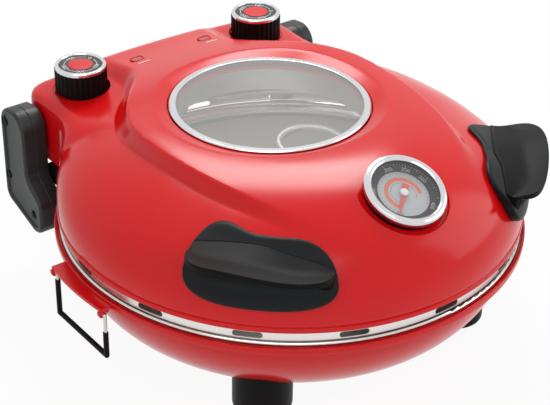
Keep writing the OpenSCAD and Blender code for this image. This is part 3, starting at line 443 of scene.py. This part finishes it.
def paint(finishes):
    """Gives carried-over nodes their finish."""
    for mat, names in finishes:
        for name in names:
            data = nodes[name].data
            data.materials.clear()
            data.materials.append(mat)
            data.polygons.foreach_set("material_index", np.zeros(len(data.polygons), np.int32))


paint([
    (RED, ["control_cover", "bail_tab", "lamp_bezels", "lid_shell"]),
    (RED_BASE, ["base_bowl"]),
    (BLACK, ["foot_front_left", "foot_front_right", "foot_rear_left", "foot_rear_right", "cord_gland", "bail_sleeve",
             "arm_brackets", "gauge_case", "knob_left", "knob_right", "handle_left_grip", "handle_right_grip"]),
    (GREY, ["arm_left_inner", "arm_left_outer", "arm_right_inner", "arm_right_outer", "handle_left_plate",
            "handle_right_plate"]),
    (STEEL, ["base_pan", "hinge_hanger_left", "hinge_hanger_right"]),
    (PAN, ["lid_pan", "window_collar", "lower_heater_clips", "upper_heater_clips"]),
    (TUBE, ["lower_heater", "upper_heater"]),
    (STONE, ["baking_stone"]),
    (ZINC, ["foot_screws", "foot_nuts", "arm_screws", "hinge_pin_left", "hinge_pin_right", "bail_wire",
            "gauge_probe"]),
    (CERAMIC, ["terminal_block", "thermostat_left", "thermostat_right"]),
    (RUBBER, ["window_gasket"]),
    (GLASS, ["window_glass"]),
    (GAUGE_GLASS, ["gauge_glass"]),
    (CHROME, ["window_ring", "gauge_bezel", "knob_left_ring", "knob_right_ring"]),
    (DIAL_DARK, ["gauge_dial", "knob_left_disc", "knob_right_disc"]),
    (LENS, ["lamp_lenses"]),
    (NEEDLE, ["gauge_needle"]),
])

# ---------------------------------------------------------------- lid shell

LOOK_AT = 150.0
# Inside edge of the rim, as (outwards, height): a groove, the rolled lower edge and the flange's inner wall
RIM_EDGE = [(0, 6.6), (-0.1, 5.4), (-0.5, 4.6), (-1.2, 4.2), (-0.6, 3.75), (0.1, 3.5), (0.4, 3.0), (0.45, 1.6),
            (0.4, 0.5), (0.1, 0.1), (-0.3, 0), (-FLANGE_T, 0), (-FLANGE_T, 5.0)]


def lid_reach(f):
    """Distance from the window's centre to the lid's outline in direction f: the larger of the round rim and the
    rounded box at the back, with a soft blend between them."""
    b = WINDOW_Y * np.sin(f)
    disc = -b + np.sqrt(b * b - WINDOW_Y ** 2 + RIM_R ** 2)
    cs, sn = np.abs(np.cos(f)), np.sin(f)
    deep = BOX_BACK - WINDOW_Y
    side = BOX_HALF_W / np.maximum(0.001, cs)
    back = deep / np.maximum(0.001, sn)
    cx, cy = BOX_HALF_W - BOX_CORNER, deep - BOX_CORNER
    s = cx * cs + cy * sn
    q = s * s - cx * cx - cy * cy + BOX_CORNER ** 2
    k = np.where(q < 0, 0.0, s + np.sqrt(np.maximum(q, 0.0)))
    use = (k > 0) & (k * cs > cx) & (k * sn > cy)
    box = np.where(sn <= 0, 0.0, np.where(use, k, np.minimum(side, back)))
    h = np.clip(0.5 + (box - disc) / NECK_BLEND / 2, 0, 1)
    return disc * (1 - h) + box * h + NECK_BLEND * h * (1 - h)


def hood_line(y, half, length, inwards, back, bend):
    """Half width of a line in plan that runs round the hood: an ellipse in front, and an S-curve inwards behind."""
    front = half * np.sqrt(np.maximum(0, 1 - ((y - HOOD_MID_Y) / length) ** 2))
    rear = half - inwards * ease(np.maximum(0, (y - HOOD_MID_Y) / back) ** bend)
    return np.where(y < HOOD_MID_Y, front, rear)


def plateau(x, y):
    """Height of the lid before it falls to its rim: the hood, the lower shoulders, and a step between the hood's
    crest line and its foot line."""
    side = CROWN_H - SIDE_DROP * (x / SIDE_HALF) ** 2
    hood = side - HOOD_DROP * ease((y - HOOD_FROM) / HOOD_LEN)
    shoulder = side - STEP_DROP * ease((y - STEP_FROM) / STEP_LEN) - PAD_DROP * ease(y / PAD_LEN)
    crest, low = hood_line(y, **CREST_LINE), hood_line(y, **FOOT_LINE)
    mix = ease((low - np.abs(x)) / np.maximum(1.0, low - crest))
    return hood * mix + shoulder * (1 - mix)


def fall_power(f):
    """Power of the fall in direction f: a round dome in front, and a flat top with upright walls at the back."""
    return FRONT_POWER + SIDE_GAIN * ease(np.sin(f) + 0.15) + CORNER_GAIN * ease((np.sin(f) - 0.5) / 0.42)


def lid_height(d, f, inner=0.0):
    """Height of the lid at distance d from the window's centre: the plateau times a superellipse fall whose power
    grows towards the control box."""
    reach, power = lid_reach(f) - inner, fall_power(f)
    u = np.clip((d - CROWN_FLAT) / (reach - CROWN_FLAT), 0, 1)
    fall = (1 - u ** power) ** (1 / power)
    x, y = d * np.cos(f), WINDOW_Y + d * np.sin(f)
    return FLANGE_Z + (plateau(x, y) - inner - FLANGE_Z) * fall


def lid_distance(z, f):
    """Distance from the window's centre at which the lid has height z in direction f: the fall turned round, with the
    plateau's height taken at the distance LOOK_AT."""
    power = fall_power(f)
    top = plateau(LOOK_AT * np.cos(f), WINDOW_Y + LOOK_AT * np.sin(f))
    level = np.clip((z - FLANGE_Z) / (top - FLANGE_Z), 0, 1)
    return CROWN_FLAT + (1 - level ** power) ** (1 / power) * (lid_reach(f) - CROWN_FLAT)


def lid_grid(turns=600):
    """The shell as a closed band: from the window's seat over the bevel, the hood and the rim, and back inside."""
    f = circle(turns)[:, None]
    reach = lid_reach(f)
    wall, dome_from = WINDOW_R + WINDOW_GAP, CROWN_FLAT + 5.0
    rows = [(wall - SEAT_W + 0 * f, RING_SEAT + 0 * f), (wall + 0 * f, RING_SEAT + 0 * f)]
    lip = plateau(CROWN_FLAT * np.cos(f), WINDOW_Y + CROWN_FLAT * np.sin(f))
    for d in np.concatenate([[wall + 0.001], np.linspace(wall + 0.4, dome_from, 18)]):
        bevel = BEVEL_FROM + (lip - BEVEL_FROM) * (d - wall) / (CROWN_FLAT - wall)
        edge = np.where(d < wall + 0.2, 0.5, 0.0)
        rows.append((d + 0 * f, soft_min(bevel, lid_height(np.maximum(d, CROWN_FLAT) + 0 * f, f), 0.8) - edge))
    power = fall_power(f)
    middle = 0.5 ** (1 / power)
    turn = CROWN_FLAT + (reach - CROWN_FLAT) * middle
    for k in np.linspace(0, 1, 55)[1:]:
        d = dome_from + (turn - dome_from) * k
        rows.append((d, lid_height(d, f)))
    for level in np.linspace(1, 0, 33)[1:-1]:
        d = CROWN_FLAT + (reach - CROWN_FLAT) * (1 - (middle * level) ** power) ** (1 / power)
        top = plateau(d * np.cos(f), WINDOW_Y + d * np.sin(f))
        rows.append((d, FLANGE_Z + (top - FLANGE_Z) * middle * level))
    rows.append((reach, FLANGE_Z + 0 * f))
    rows += [(reach + outwards, z + 0 * f) for outwards, z in RIM_EDGE]
    inner = reach - SHELL_T
    for k in (1 - (1 - np.linspace(0, 1, 26)) ** 1.3)[::-1]:
        d = CROWN_FLAT + (inner - CROWN_FLAT) * k
        rows.append((d, lid_height(d, f, SHELL_T)))
    under = RING_SEAT - SEAT_T + 0 * f
    rows += [(wall + 0 * f, under), (wall - SEAT_W + 0 * f, under)]
    d, z = (np.concatenate([row[k] for row in rows], 1) for k in (0, 1))
    grid = np.stack([d * np.cos(f), WINDOW_Y + d * np.sin(f), z], -1)
    return at_rim(grid), quads(turns, len(rows), True, True)


def cut(target, cutters):
    """Takes the cutters out of the target and drops them."""
    for tool in cutters:
        mod = target.modifiers.new(tool.name, "BOOLEAN")
        mod.operation, mod.solver, mod.object = "DIFFERENCE", "MANIFOLD", tool
    graph = bpy.context.evaluated_depsgraph_get()
    fresh = bpy.data.meshes.new_from_object(target.evaluated_get(graph))
    target.modifiers.clear()
    old, target.data = target.data, fresh
    bpy.data.meshes.remove(old)
    for tool in cutters:
        bpy.data.objects.remove(tool)
    fresh.polygons.foreach_set("use_smooth", np.ones(len(fresh.polygons), bool))
    fresh.set_sharp_from_angle(angle=math.radians(32))


shell = piece("lid_skin", *lid_grid(), RED, "lid", ("lid_shell",), "red_moulding")


def plug(name, profile, place, steps=128):
    """A cutter: a solid turned from a profile that starts and ends on its axis."""
    return piece(name, *turned(profile, steps, place), RED, None)


def prism(name, outline, low, high):
    """A cutter with an upright wall over a flat outline, from height low to height high of the rim frame."""
    return piece(name, *layered(outline, [(0, low), (0, high)], at_rim), RED, None)


def slab(x, y, half_x, half_y, radius=0.5):
    """Outline of a rectangle with rounded corners about (x, y)."""
    return rounded([(x - half_x, y - half_y, radius), (x + half_x, y - half_y, radius),
                    (x + half_x, y + half_y, radius), (x - half_x, y + half_y, radius)])


# Cut out of the shell: the gauge's pocket and the hole for its case, and on each side the knob's recess and the hole
# for its bush, the lamp's opening, and the slot that the hinge's pin comes in through
cutters = [plug("pocket", [(0, -8.2), (32.6, -8.2), (33.4, -7.9), (33.8, -7.2), (34.0, -6.0), (34.0, 14), (0, 14)],
                at_gauge),
           plug("case_hole", [(0, -30), (28.7, -30), (28.7, 12), (0, 12)], at_gauge)]
for side in (-1, 1):
    tag = "left" if side < 0 else "right"
    cutters.append(plug("recess_" + tag, [(0, 0), (21.8, 0), (22.3, 0.2), (22.5, 0.8), (22.5, 14), (0, 14)],
                        at_knob(side)))
    cutters.append(plug("bush_" + tag, [(0, -12), (5.15, -12), (5.15, 8), (0, 8)], at_knob(side), 48))
    x = side * LAMP_X
    cutters.append(prism("lamp_" + tag, slab(x, LAMP_Y, LAMP_W / 2, LAMP_L / 2, 2.6), 45, 85))
    x = side * (BOX_HALF_W + 1)
    cutters.append(prism("pin_slot_" + tag, slab(x, HINGE_Y, 6, PIN_R + 0.8), -1.8, HINGE_H + 4.8))
cut(shell, cutters)

# ---------------------------------------------------------------- bowl

def along_y(x, z):
    """A function from a frame with z along the row's y axis to the row's frame, about a line at x and z."""
    def place(points):
        p = np.asarray(points, float)
        return at_rim(np.stack([p[..., 0] + x, p[..., 2], z - p[..., 1]], -1))
    return place


def bowl_profile(inwards=0.0, n=56):
    """The bowl's curve from its top to its flat bottom: a superellipse."""
    q = np.linspace(0, math.pi / 2, n + 1)
    r = BOWL_FLAT_R - inwards + BOWL_SPREAD * np.maximum(0, np.cos(q)) ** (2 / BOWL_POWER)
    return np.stack([r, BOWL_TOP - (BOWL_DEPTH - inwards) * np.sin(q) ** (2 / BOWL_POWER)], -1)


bowl_floor = BOWL_TOP - BOWL_DEPTH
# The bowl's section: lip is its stepped flange outside, and within is the groove that the pan's bead lies in
lip = smooth_profile([(177.3, -14.4, 0), (177.3, -11.2, 0.25), (179, -11.2, 0.45), (179, -15.4, 0.5),
                      (178.3, -15.9, 0.2), (178.3, -17.3, 0.5), (172.4, -18, 0.9), (171, -18.6, 0)])
within = smooth_profile([(169.5, -18.4, 0), (170, -12.05, 0.5), (175.2, -12.05, 0.3), (175.2, -14.35, 0.3),
                         (177.3, -14.4, 0)])
bowl_turn = np.concatenate([lip, bowl_profile()[2:], [(0.0, bowl_floor), (0.0, bowl_floor + BOWL_T)],
                            bowl_profile(BOWL_T)[::-1][:-2], within[:-1]])
bowl = piece("bowl_skin", *closed_turn(bowl_turn, 512), RED_BASE, "base", ("base_bowl",), "red_paint")
screw_hole = [(0, -90), (2.15, -90), (2.15, -40), (0, -40)]
cut(bowl, [plug("gland_hole", [(0, 150), (7.65, 150), (7.65, 200), (0, 200)], along_y(0, -45), 64)]
    + [plug("screw_hole_%d" % k, screw_hole, shifted(at_rim, x, y, 0.0), 24)
       for k, (x, y) in enumerate([(FOOT_X, FOOT_Y), (-FOOT_X, FOOT_Y), (FOOT_X, -FOOT_Y), (-FOOT_X, -FOOT_Y)])])

# ---------------------------------------------------------------- handles

HANDLE_F = math.atan2(-HANDLE_STAND * math.cos(math.radians(HANDLE_DEG)) - WINDOW_Y,
                      HANDLE_STAND * math.sin(math.radians(HANDLE_DEG)))


def off_lid(z, f, out):
    """Point at height z and distance out from the lid's surface, as (distance from the window's centre, height)."""
    d0, d1 = lid_distance(z - 1.0, f), lid_distance(z + 1.0, f)
    size = np.hypot(d1 - d0, 2.0)
    return lid_distance(z, f) + out * 2.0 / size, z - out * (d1 - d0) / size


def swell(z):
    """Thickness of a handle's plate at height z: it swells where the grip grows out of it."""
    return PLATE_T + 4.0 * ease((z - 14) / 16) * (1 - ease((z - 38) / 14))


def loft(d, z, f, side):
    """A solid through closed sections: row k holds the distances and heights of one section in direction f[k]."""
    grid = np.stack([side * d * np.cos(f), WINDOW_Y + d * np.sin(f), z], -1)
    n, m = d.shape
    faces = quads(n, m, False, True).tolist() + [list(range(m))[::-1], [(n - 1) * m + k for k in range(m)]]
    return at_rim(grid), faces


def handle_plate(side, steps=140):
    """The plate against the lid: its upper edge is dished between two lobes, and its outer edge is rounded."""
    t = np.sin(np.linspace(-1, 1, steps) * math.pi / 2)[:, None] * 0.9985
    f = HANDLE_F + t * HANDLE_SPAN
    lobe = (1 - np.abs(t) ** 4.5) ** (1 / 3.2)
    high = HANDLE_MID + (HANDLE_UP - 2.0 * (1 - ease(np.abs(t) / 0.6))) * lobe
    low = HANDLE_MID - HANDLE_DOWN * (1 - np.abs(t) ** 3.2) ** (1 / 2.2)
    k = (1 - np.cos(np.linspace(0, math.pi, 31)))[None, :] / 2
    z = low + (high - low) * k
    edge = np.clip(np.minimum(z - low, high - z) / EDGE_R, 0, 1)
    drop = EDGE_R * (1 - np.sqrt(np.clip(1 - (1 - edge) ** 2, 0, 1)))
    d_out, z_out = off_lid(z, f, swell(z) - drop)
    d_in, z_in = off_lid(z[:, ::-1], f, PLATE_SINK)
    return loft(np.concatenate([d_out, d_in], 1), np.concatenate([z_out, z_in], 1), f, side)


def grip_section(t):
    """The grip's outline at t, from -1 at its front end to 1 at its rear end, as (distance from the window's centre,
    height, corner radius). a is where its top leaves the plate, b where its underside does."""
    f = HANDLE_F + t * HANDLE_SPAN * GRIP_SPAN
    root, tip = GRIP_ROOT - (6.5 - 2.0 * t) * t * t, GRIP_TIP - 6.0 * float(ease(0.5 - 0.9 * t))
    full = (1 - abs(t) ** 14) ** 0.4
    low = root - 1.5 - 8.5 * full
    a = off_lid(root - 2, f, swell(root - 2) - 0.2)
    b = off_lid(low - 5, f, swell(low - 5) - 0.3)
    bow = WINDOW_Y * math.sin(f)
    far = -bow + math.sqrt(bow * bow - WINDOW_Y ** 2 + GRIP_REACH ** 2) - GRIP_CORNER
    out = max(b[0] + 0.8 + 4.0 * full, far + GRIP_CORNER * (1 - abs(t) ** 7) ** (1 / 2.6))
    tip = a[1] + (tip - a[1]) * full
    under = tip - 1.0 - 3.5 * full
    dish = (a[0] * 0.45 + out * 0.55, a[1] * 0.45 + tip * 0.55 - 2.4 * full)
    return [(b[0], min(b[1], under - 2.0), 0.3), (out - 4 * full, under - 1.5, 1.2), (out - 0.4, under, 0.8),
            (out - 0.4, tip - 2.6, 0.2), (out - 1.0, tip - 2.3, 0.2), (out, tip - 2.0, 0.3), (out, tip, 0.9),
            (*dish, 30.0), (a[0] + 2.2, a[1] + 0.4, 0.8), (a[0] + 0.9, a[1] + 1.0, 0.5), (a[0] - 0.3, a[1] + 0.2, 0.3)]


def handle_grip(side, steps=160):
    """The grip: a shelf that leaves the plate along a bowed, slightly raised ridge. It is dished, its outer edge is
    rounded, a parting groove runs round below the edge, and both ends are cut nearly square."""
    turns = np.sin(np.linspace(-1, 1, steps) * math.pi / 2) * 0.999
    rows = np.array([rounded(grip_section(t), 6) for t in turns])
    return loft(rows[:, :, 0], rows[:, :, 1], HANDLE_F + turns[:, None] * HANDLE_SPAN * GRIP_SPAN, side)


for side, tag in ((-1, "left"), (1, "right")):
    piece("handle_%s_back" % tag, *handle_plate(side), DARK, "lid", ("handle_%s_plate" % tag,), "grey_plastic", 50)
    piece("handle_%s_shelf" % tag, *handle_grip(side), BLACK, "lid", ("handle_%s_grip" % tag,), "black_plastic", 50)

# ---------------------------------------------------------------- hinge arms

# Outline of an arm as (back from ARM_Y, height, corner radius), and where its screws are
ARM_SHAPE = [(20, 42, 13), (-15.5, 46, 20), (-16, -9, 13), (-36, -24, 9), (-35, -57, 11), (20, -39, 11)]
ARM_HOLES = [(14, 30), (14.5, -18), (-21.5, -38.5)]


def at_arm(side):
    """A function from (y from the line ARM_Y, height, distance from the middle plane) to the row's frame."""
    def place(points):
        p = np.asarray(points, float)
        return at_rim(np.stack([side * p[..., 2], p[..., 0] + ARM_Y, p[..., 1]], -1))
    return place


def arm_layers(start):
    """Layers of the outer half: a straight wall, a rolled rim 5 mm wide, and the wall of a sunk panel."""
    roll = [(2.6 - 2.6 * math.cos(a), ARM_OUT - 2.6 + 2.6 * math.sin(a)) for a in np.radians(np.arange(0, 91, 10))]
    down = [(2.6 + 2.0 * math.sin(a), ARM_OUT - 1.0 + 1.0 * math.cos(a)) for a in np.radians(np.arange(15, 91, 15))]
    return [(0.3, start), (0, start + 0.3)] + roll + down + [(4.8, ARM_OUT - 1.5), (5.3, ARM_OUT - 1.6)]


arm_line = rounded(ARM_SHAPE, 18)
arm_mid = (ARM_IN + ARM_OUT) / 2
inside_layers = [(1.2, ARM_IN), (0.35, ARM_IN + 0.35), (0, ARM_IN + 1.2), (0, arm_mid - 0.3), (0.3, arm_mid)]
# Turned cutters, as (radius, distance from the middle plane)
pin_hole = [(0, 100), (4.02, 100), (4.02, 160), (0, 160)]
screw_well = [(0, arm_mid - 3), (1.85, arm_mid - 3), (1.85, ARM_OUT - 7), (3.4, ARM_OUT - 7), (3.4, ARM_OUT - 2.3),
              (4.1, ARM_OUT - 1.5), (4.1, ARM_OUT + 2), (0, ARM_OUT + 2)]
for side, tag in ((-1, "left"), (1, "right")):
    place = at_arm(side)
    inner = piece("arm_%s_inside" % tag, *layered(arm_line, inside_layers, place), GREY, "base",
                  ("arm_%s_inner" % tag,), "grey_plastic", 50)
    outer = piece("arm_%s_outside" % tag, *layered(arm_line, arm_layers(arm_mid + 0.02), place), GREY, "base",
                  ("arm_%s_outer" % tag,), "grey_plastic", 50)
    cut(inner, [plug("pin_hole_" + tag, pin_hole, shifted(place, HINGE_Y - ARM_Y, HINGE_H, 0.0), 64)])
    cut(outer, [plug("arm_hole_%s_%d" % (tag, k), screw_well, shifted(place, *hole, 0.0), 48)
                for k, hole in enumerate(ARM_HOLES)])

# ---------------------------------------------------------------- prints on the lid, the gauge and the knobs


def strip(r0, r1, a0, a1, z, place, steps=60):
    """A flat part of a ring between two radii, from angle a0 to a1 in degrees, at height z of its own frame."""
    a = np.radians(np.linspace(a0, a1, steps + 1))[None, :]
    r = np.array([[r0], [r1]])
    return place(np.stack([r * np.cos(a), r * np.sin(a), z + 0 * r * a], -1)), quads(2, steps + 1)


def loose_quads(corners, place):
    """Separate four-cornered faces, from a list of their corners."""
    return place(np.array(corners).reshape(-1, 3)), np.arange(len(corners) * 4).reshape(-1, 4)


def marks(angles, r0, r1, width, z, place):
    """Short straight lines that point at the middle, one at each angle."""
    corners = []
    for a in np.radians(angles):
        u, v = np.array([math.cos(a), math.sin(a)]), np.array([-math.sin(a), math.cos(a)]) * width / 2
        corners.append([[*(u * r0 - v), z], [*(u * r1 - v), z], [*(u * r1 + v), z], [*(u * r0 + v), z]])
    return loose_quads(corners, place)


# Pen strokes of each numeral, in a box 2 wide and 4 high
STROKES = {"0": [[(0, 1), (0, 3), (1, 4), (2, 3), (2, 1), (1, 0), (0, 1)]], "1": [[(0.3, 3), (1, 4), (1, 0)]],
           "2": [[(0, 3.2), (1, 4), (2, 3.2), (0, 0), (2, 0)]],
           "3": [[(0, 3.4), (1, 4), (2, 3), (1, 2.1), (2, 1), (1, 0), (0, 0.6)]],
           "4": [[(1.5, 0), (1.5, 4), (0, 1.3), (2, 1.3)]],
           "5": [[(2, 4), (0, 4), (0, 2.3), (1.2, 2.4), (2, 1.2), (1, 0), (0, 0.4)]]}


def numeral(word, angle, radius, size, z, place):
    """Plain numerals in line strokes, their middle at a radius and angle: they stand square to the radius."""
    turn = math.radians(angle - 90.0)
    across, up = np.array([math.cos(turn), math.sin(turn)]), np.array([-math.sin(turn), math.cos(turn)])
    mid = radius * np.array([math.cos(math.radians(angle)), math.sin(math.radians(angle))])
    unit, wide = size / 4.0, size * 0.085
    corners = []
    for k, sign in enumerate(word):
        left = (k - (len(word) - 1) / 2) * 3.0 - 1.0
        for line in STROKES[sign]:
            for (x0, y0), (x1, y1) in zip(line[:-1], line[1:]):
                p = mid + unit * ((x0 + left) * across + (y0 - 2) * up)
                q = mid + unit * ((x1 + left) * across + (y1 - 2) * up)
                u = (q - p) / np.linalg.norm(q - p)
                v = np.array([-u[1], u[0]]) * wide
                p, q = p - u * wide * 0.6, q + u * wide * 0.6
                corners.append([[*(p - v), z], [*(q - v), z], [*(q + v), z], [*(p + v), z]])
    return loose_quads(corners, place)


KNOB_DISH = 0.9
for side, tag, start in ((-1, "left", 24.0), (1, "right", -30.0)):
    local = at_knob(side)
    body = "knob_" + tag
    top = KNOB_H - KNOB_DISH + 0.05
    gaps = [start + k * 72.0 for k in range(5)]
    parts = [strip(12.6, 13.0, g + 15, g + 57, top, local, 24) for g in gaps]
    parts += [numeral(word, g, 12.8, 3.3, top, local) for g, word in zip(gaps, ("0", "100", "200", "300", "400"))]
    piece("knob_%s_print" % tag, *join(*parts), WHITE_PRINT, body, slot="knob_face", outwards=False)
    cap = smooth_profile([(9.7, top - 0.1, 0), (9.7, top + 0.25, 0.15), (0.0, top + 0.45, 0)], 4)
    piece("knob_%s_cap" % tag, *turned(cap, 96, local), CAP_RED, body, slot="knob_face")

for side, tag in ((-1, "left"), (1, "right")):
    x = np.linspace(-5.2, 5.2, 15)[None, :] + side * LAMP_X
    y = np.array([[-0.6], [0.6]]) + LAMP_Y - 10.6 + 0 * x
    x = x + 0 * y
    line = at_rim(np.stack([x, y, plateau(x, y) + 0.12], -1))
    piece("lamp_%s_mark" % tag, line, quads(2, 15), WHITE_PRINT, "lid", slot="knob_face", outwards=False)

DIAL_Z = -5.5
# The scale's ends in degrees, and the heights of the dial's layers of print
SCALE_FROM, SCALE_TO = -50, 230
paper, ink, figures = DIAL_Z + 0.05, DIAL_Z + 0.09, DIAL_Z + 0.1
piece("gauge_inner_face", *strip(0.0, 19.0, 0, 360, paper, at_gauge, 96), DIAL_PALE, "lid", slot="dial",
      outwards=False)
parts = [strip(18.9, 19.25, 0, 360, ink, at_gauge, 96), strip(9.3, 9.55, SCALE_FROM, SCALE_TO, ink, at_gauge, 80),
         marks(np.linspace(SCALE_FROM, SCALE_TO, 29), 16.8, 18.6, 0.3, ink, at_gauge)]
piece("gauge_scale_lines", *join(*parts), DIAL_INK, "lid", slot="dial", outwards=False)
parts = [marks(np.linspace(SCALE_FROM, SCALE_TO, 57), 24.9, 26.2, 0.3, ink, at_gauge),
         marks(np.linspace(SCALE_FROM, SCALE_TO, 15), 24.2, 26.2, 0.55, figures, at_gauge)]
parts += [numeral(word, a, 21.9, 2.9, figures, at_gauge)
          for word, a in (("0", 224), ("50", 189), ("100", 154), ("200", 84), ("250", 49), ("300", 14), ("400", -50))]
piece("gauge_outer_marks", *join(*parts), DIAL_PRINT, "lid", slot="dial", outwards=False)
piece("gauge_arc", *strip(11.0, 14.2, -20, 225, figures, at_gauge, 120), DIAL_ARC, "lid", slot="dial",
      outwards=False)
hub = smooth_profile([(3.1, DIAL_Z + 1.65, 0), (3.1, DIAL_Z + 2.6, 0.5), (0.9, DIAL_Z + 3.0, 0.2),
                      (0.8, DIAL_Z + 2.9, 0), (0.0, DIAL_Z + 2.9, 0)], 5)
piece("gauge_hub", *turned(hub, 64, at_gauge), WHITE_PRINT, "needle", slot="needle_red")

# ---------------------------------------------------------------- camera, lights and floor

# The camera: see aim_camera
VIEW = [math.radians(v) for v in (-37.44398641565816, 31.41625525456445, 0.8636596285483632)]
VIEW_FAR, VIEW_ACROSS, VIEW_OVER = 1.2, -0.01135119, -0.00407682
FOCAL, IMAGE_W, SENSOR_W = 1572.8969782103948, 550, 36.0


def aim_camera():
    """Places the camera: VIEW is how far round and how far up it stands and its small roll, VIEW_FAR and the next two
    are metres from the rim's middle, and FOCAL is its focal length in picture points."""
    az, el, roll = VIEW
    back = Vector((math.sin(az) * math.cos(el), -math.cos(az) * math.cos(el), math.sin(el)))
    right = Vector((math.cos(az), math.sin(az), 0.0))
    up = back.cross(right)
    across = right * math.cos(roll) + up * math.sin(roll)
    over = up * math.cos(roll) - right * math.sin(roll)
    spot = back * VIEW_FAR + across * VIEW_ACROSS + over * VIEW_OVER + Vector((RIM_X, RIM_Y, RIM_Z)) * MM
    cam = bpy.data.objects.new("camera", bpy.data.cameras.new("camera"))
    bpy.context.scene.collection.objects.link(cam)
    cam.data.sensor_width = SENSOR_W
    cam.data.lens = FOCAL / IMAGE_W * SENSOR_W
    m = Matrix((across, over, back)).transposed().to_4x4()
    m.translation = spot
    cam.matrix_world = m
    bpy.context.scene.camera = cam


def area_light(name, spot, target, size, power):
    """A soft box at spot that looks at target."""
    data = bpy.data.lights.new(name, "AREA")
    data.energy = power
    data.shape = "RECTANGLE"
    data.size, data.size_y = size
    obj = bpy.data.objects.new(name, data)
    bpy.context.scene.collection.objects.link(obj)
    way = Vector(target) - Vector(spot)
    obj.rotation_euler = way.to_track_quat("-Z", "Y").to_euler()
    obj.location = spot


def plainly_seen(tree):
    """1 for the camera's own rays and for those that metal or glass sends on, else 0."""
    path = tree.nodes.new("ShaderNodeLightPath").outputs
    return chain(tree, "MAXIMUM", path["Is Camera Ray"],
                 chain(tree, "MAXIMUM", path["Is Glossy Ray"], path["Is Transmission Ray"]))


def white_room(level, seen):
    """World: even light of one level, and plain white where the camera, metal or glass looks at it."""
    world = bpy.data.worlds.new("studio")
    bpy.context.scene.world = world
    world.use_nodes = True
    t = world.node_tree
    ground = t.nodes["Background"]
    ground.inputs["Color"].default_value = (1, 1, 1, 1)
    more = chain(t, "MULTIPLY", plainly_seen(t), seen - level)
    t.links.new(chain(t, "ADD", level, more), ground.inputs["Strength"])


def pale_floor(white=0.93, half=6000.0, drop=0.2):
    """Floor: pale, and mixed with plain white where it is seen, so that only the object's shadow tints it. It lies a
    little below the feet."""
    mat = bpy.data.materials.new("pale floor")
    mat.use_nodes = True
    t = mat.node_tree
    shader = t.nodes["Principled BSDF"]
    shader.inputs["Base Color"].default_value = (0.9, 0.9, 0.9, 1)
    shader.inputs["Roughness"].default_value = 0.9
    glow = node(t, "ShaderNodeEmission", {"Color": (1, 1, 1, 1), "Strength": 1.0})
    mix = t.nodes.new("ShaderNodeMixShader")
    t.links.new(chain(t, "MULTIPLY", plainly_seen(t), white), mix.inputs[0])
    t.links.new(shader.outputs[0], mix.inputs[1])
    t.links.new(glow.outputs[0], mix.inputs[2])
    t.links.new(mix.outputs[0], t.nodes["Material Output"].inputs["Surface"])
    corners = np.array([(-half, -half, -drop), (half, -half, -drop), (half, half, -drop), (-half, half, -drop)])
    floor = piece("floor", corners, [[0, 1, 2, 3]], mat, None, outwards=False)


bpy.context.scene.view_settings.view_transform = "Standard"
aim_camera()
white_room(0.4, 1.0)
pale_floor()
# Soft boxes behind on the right, in front on the left, and low at the right side
area_light("back_box", (0.45, 0.62, 1.05), (0, 0, 0.1), (0.6, 0.4), 8.0)
area_light("front_box", (-0.75, -0.75, 1.1), (0, 0, 0.1), (1.2, 1.2), 6.5)
area_light("side_box", (1.0, -0.6, 0.6), (0, 0, 0.1), (0.9, 0.9), 4.0)
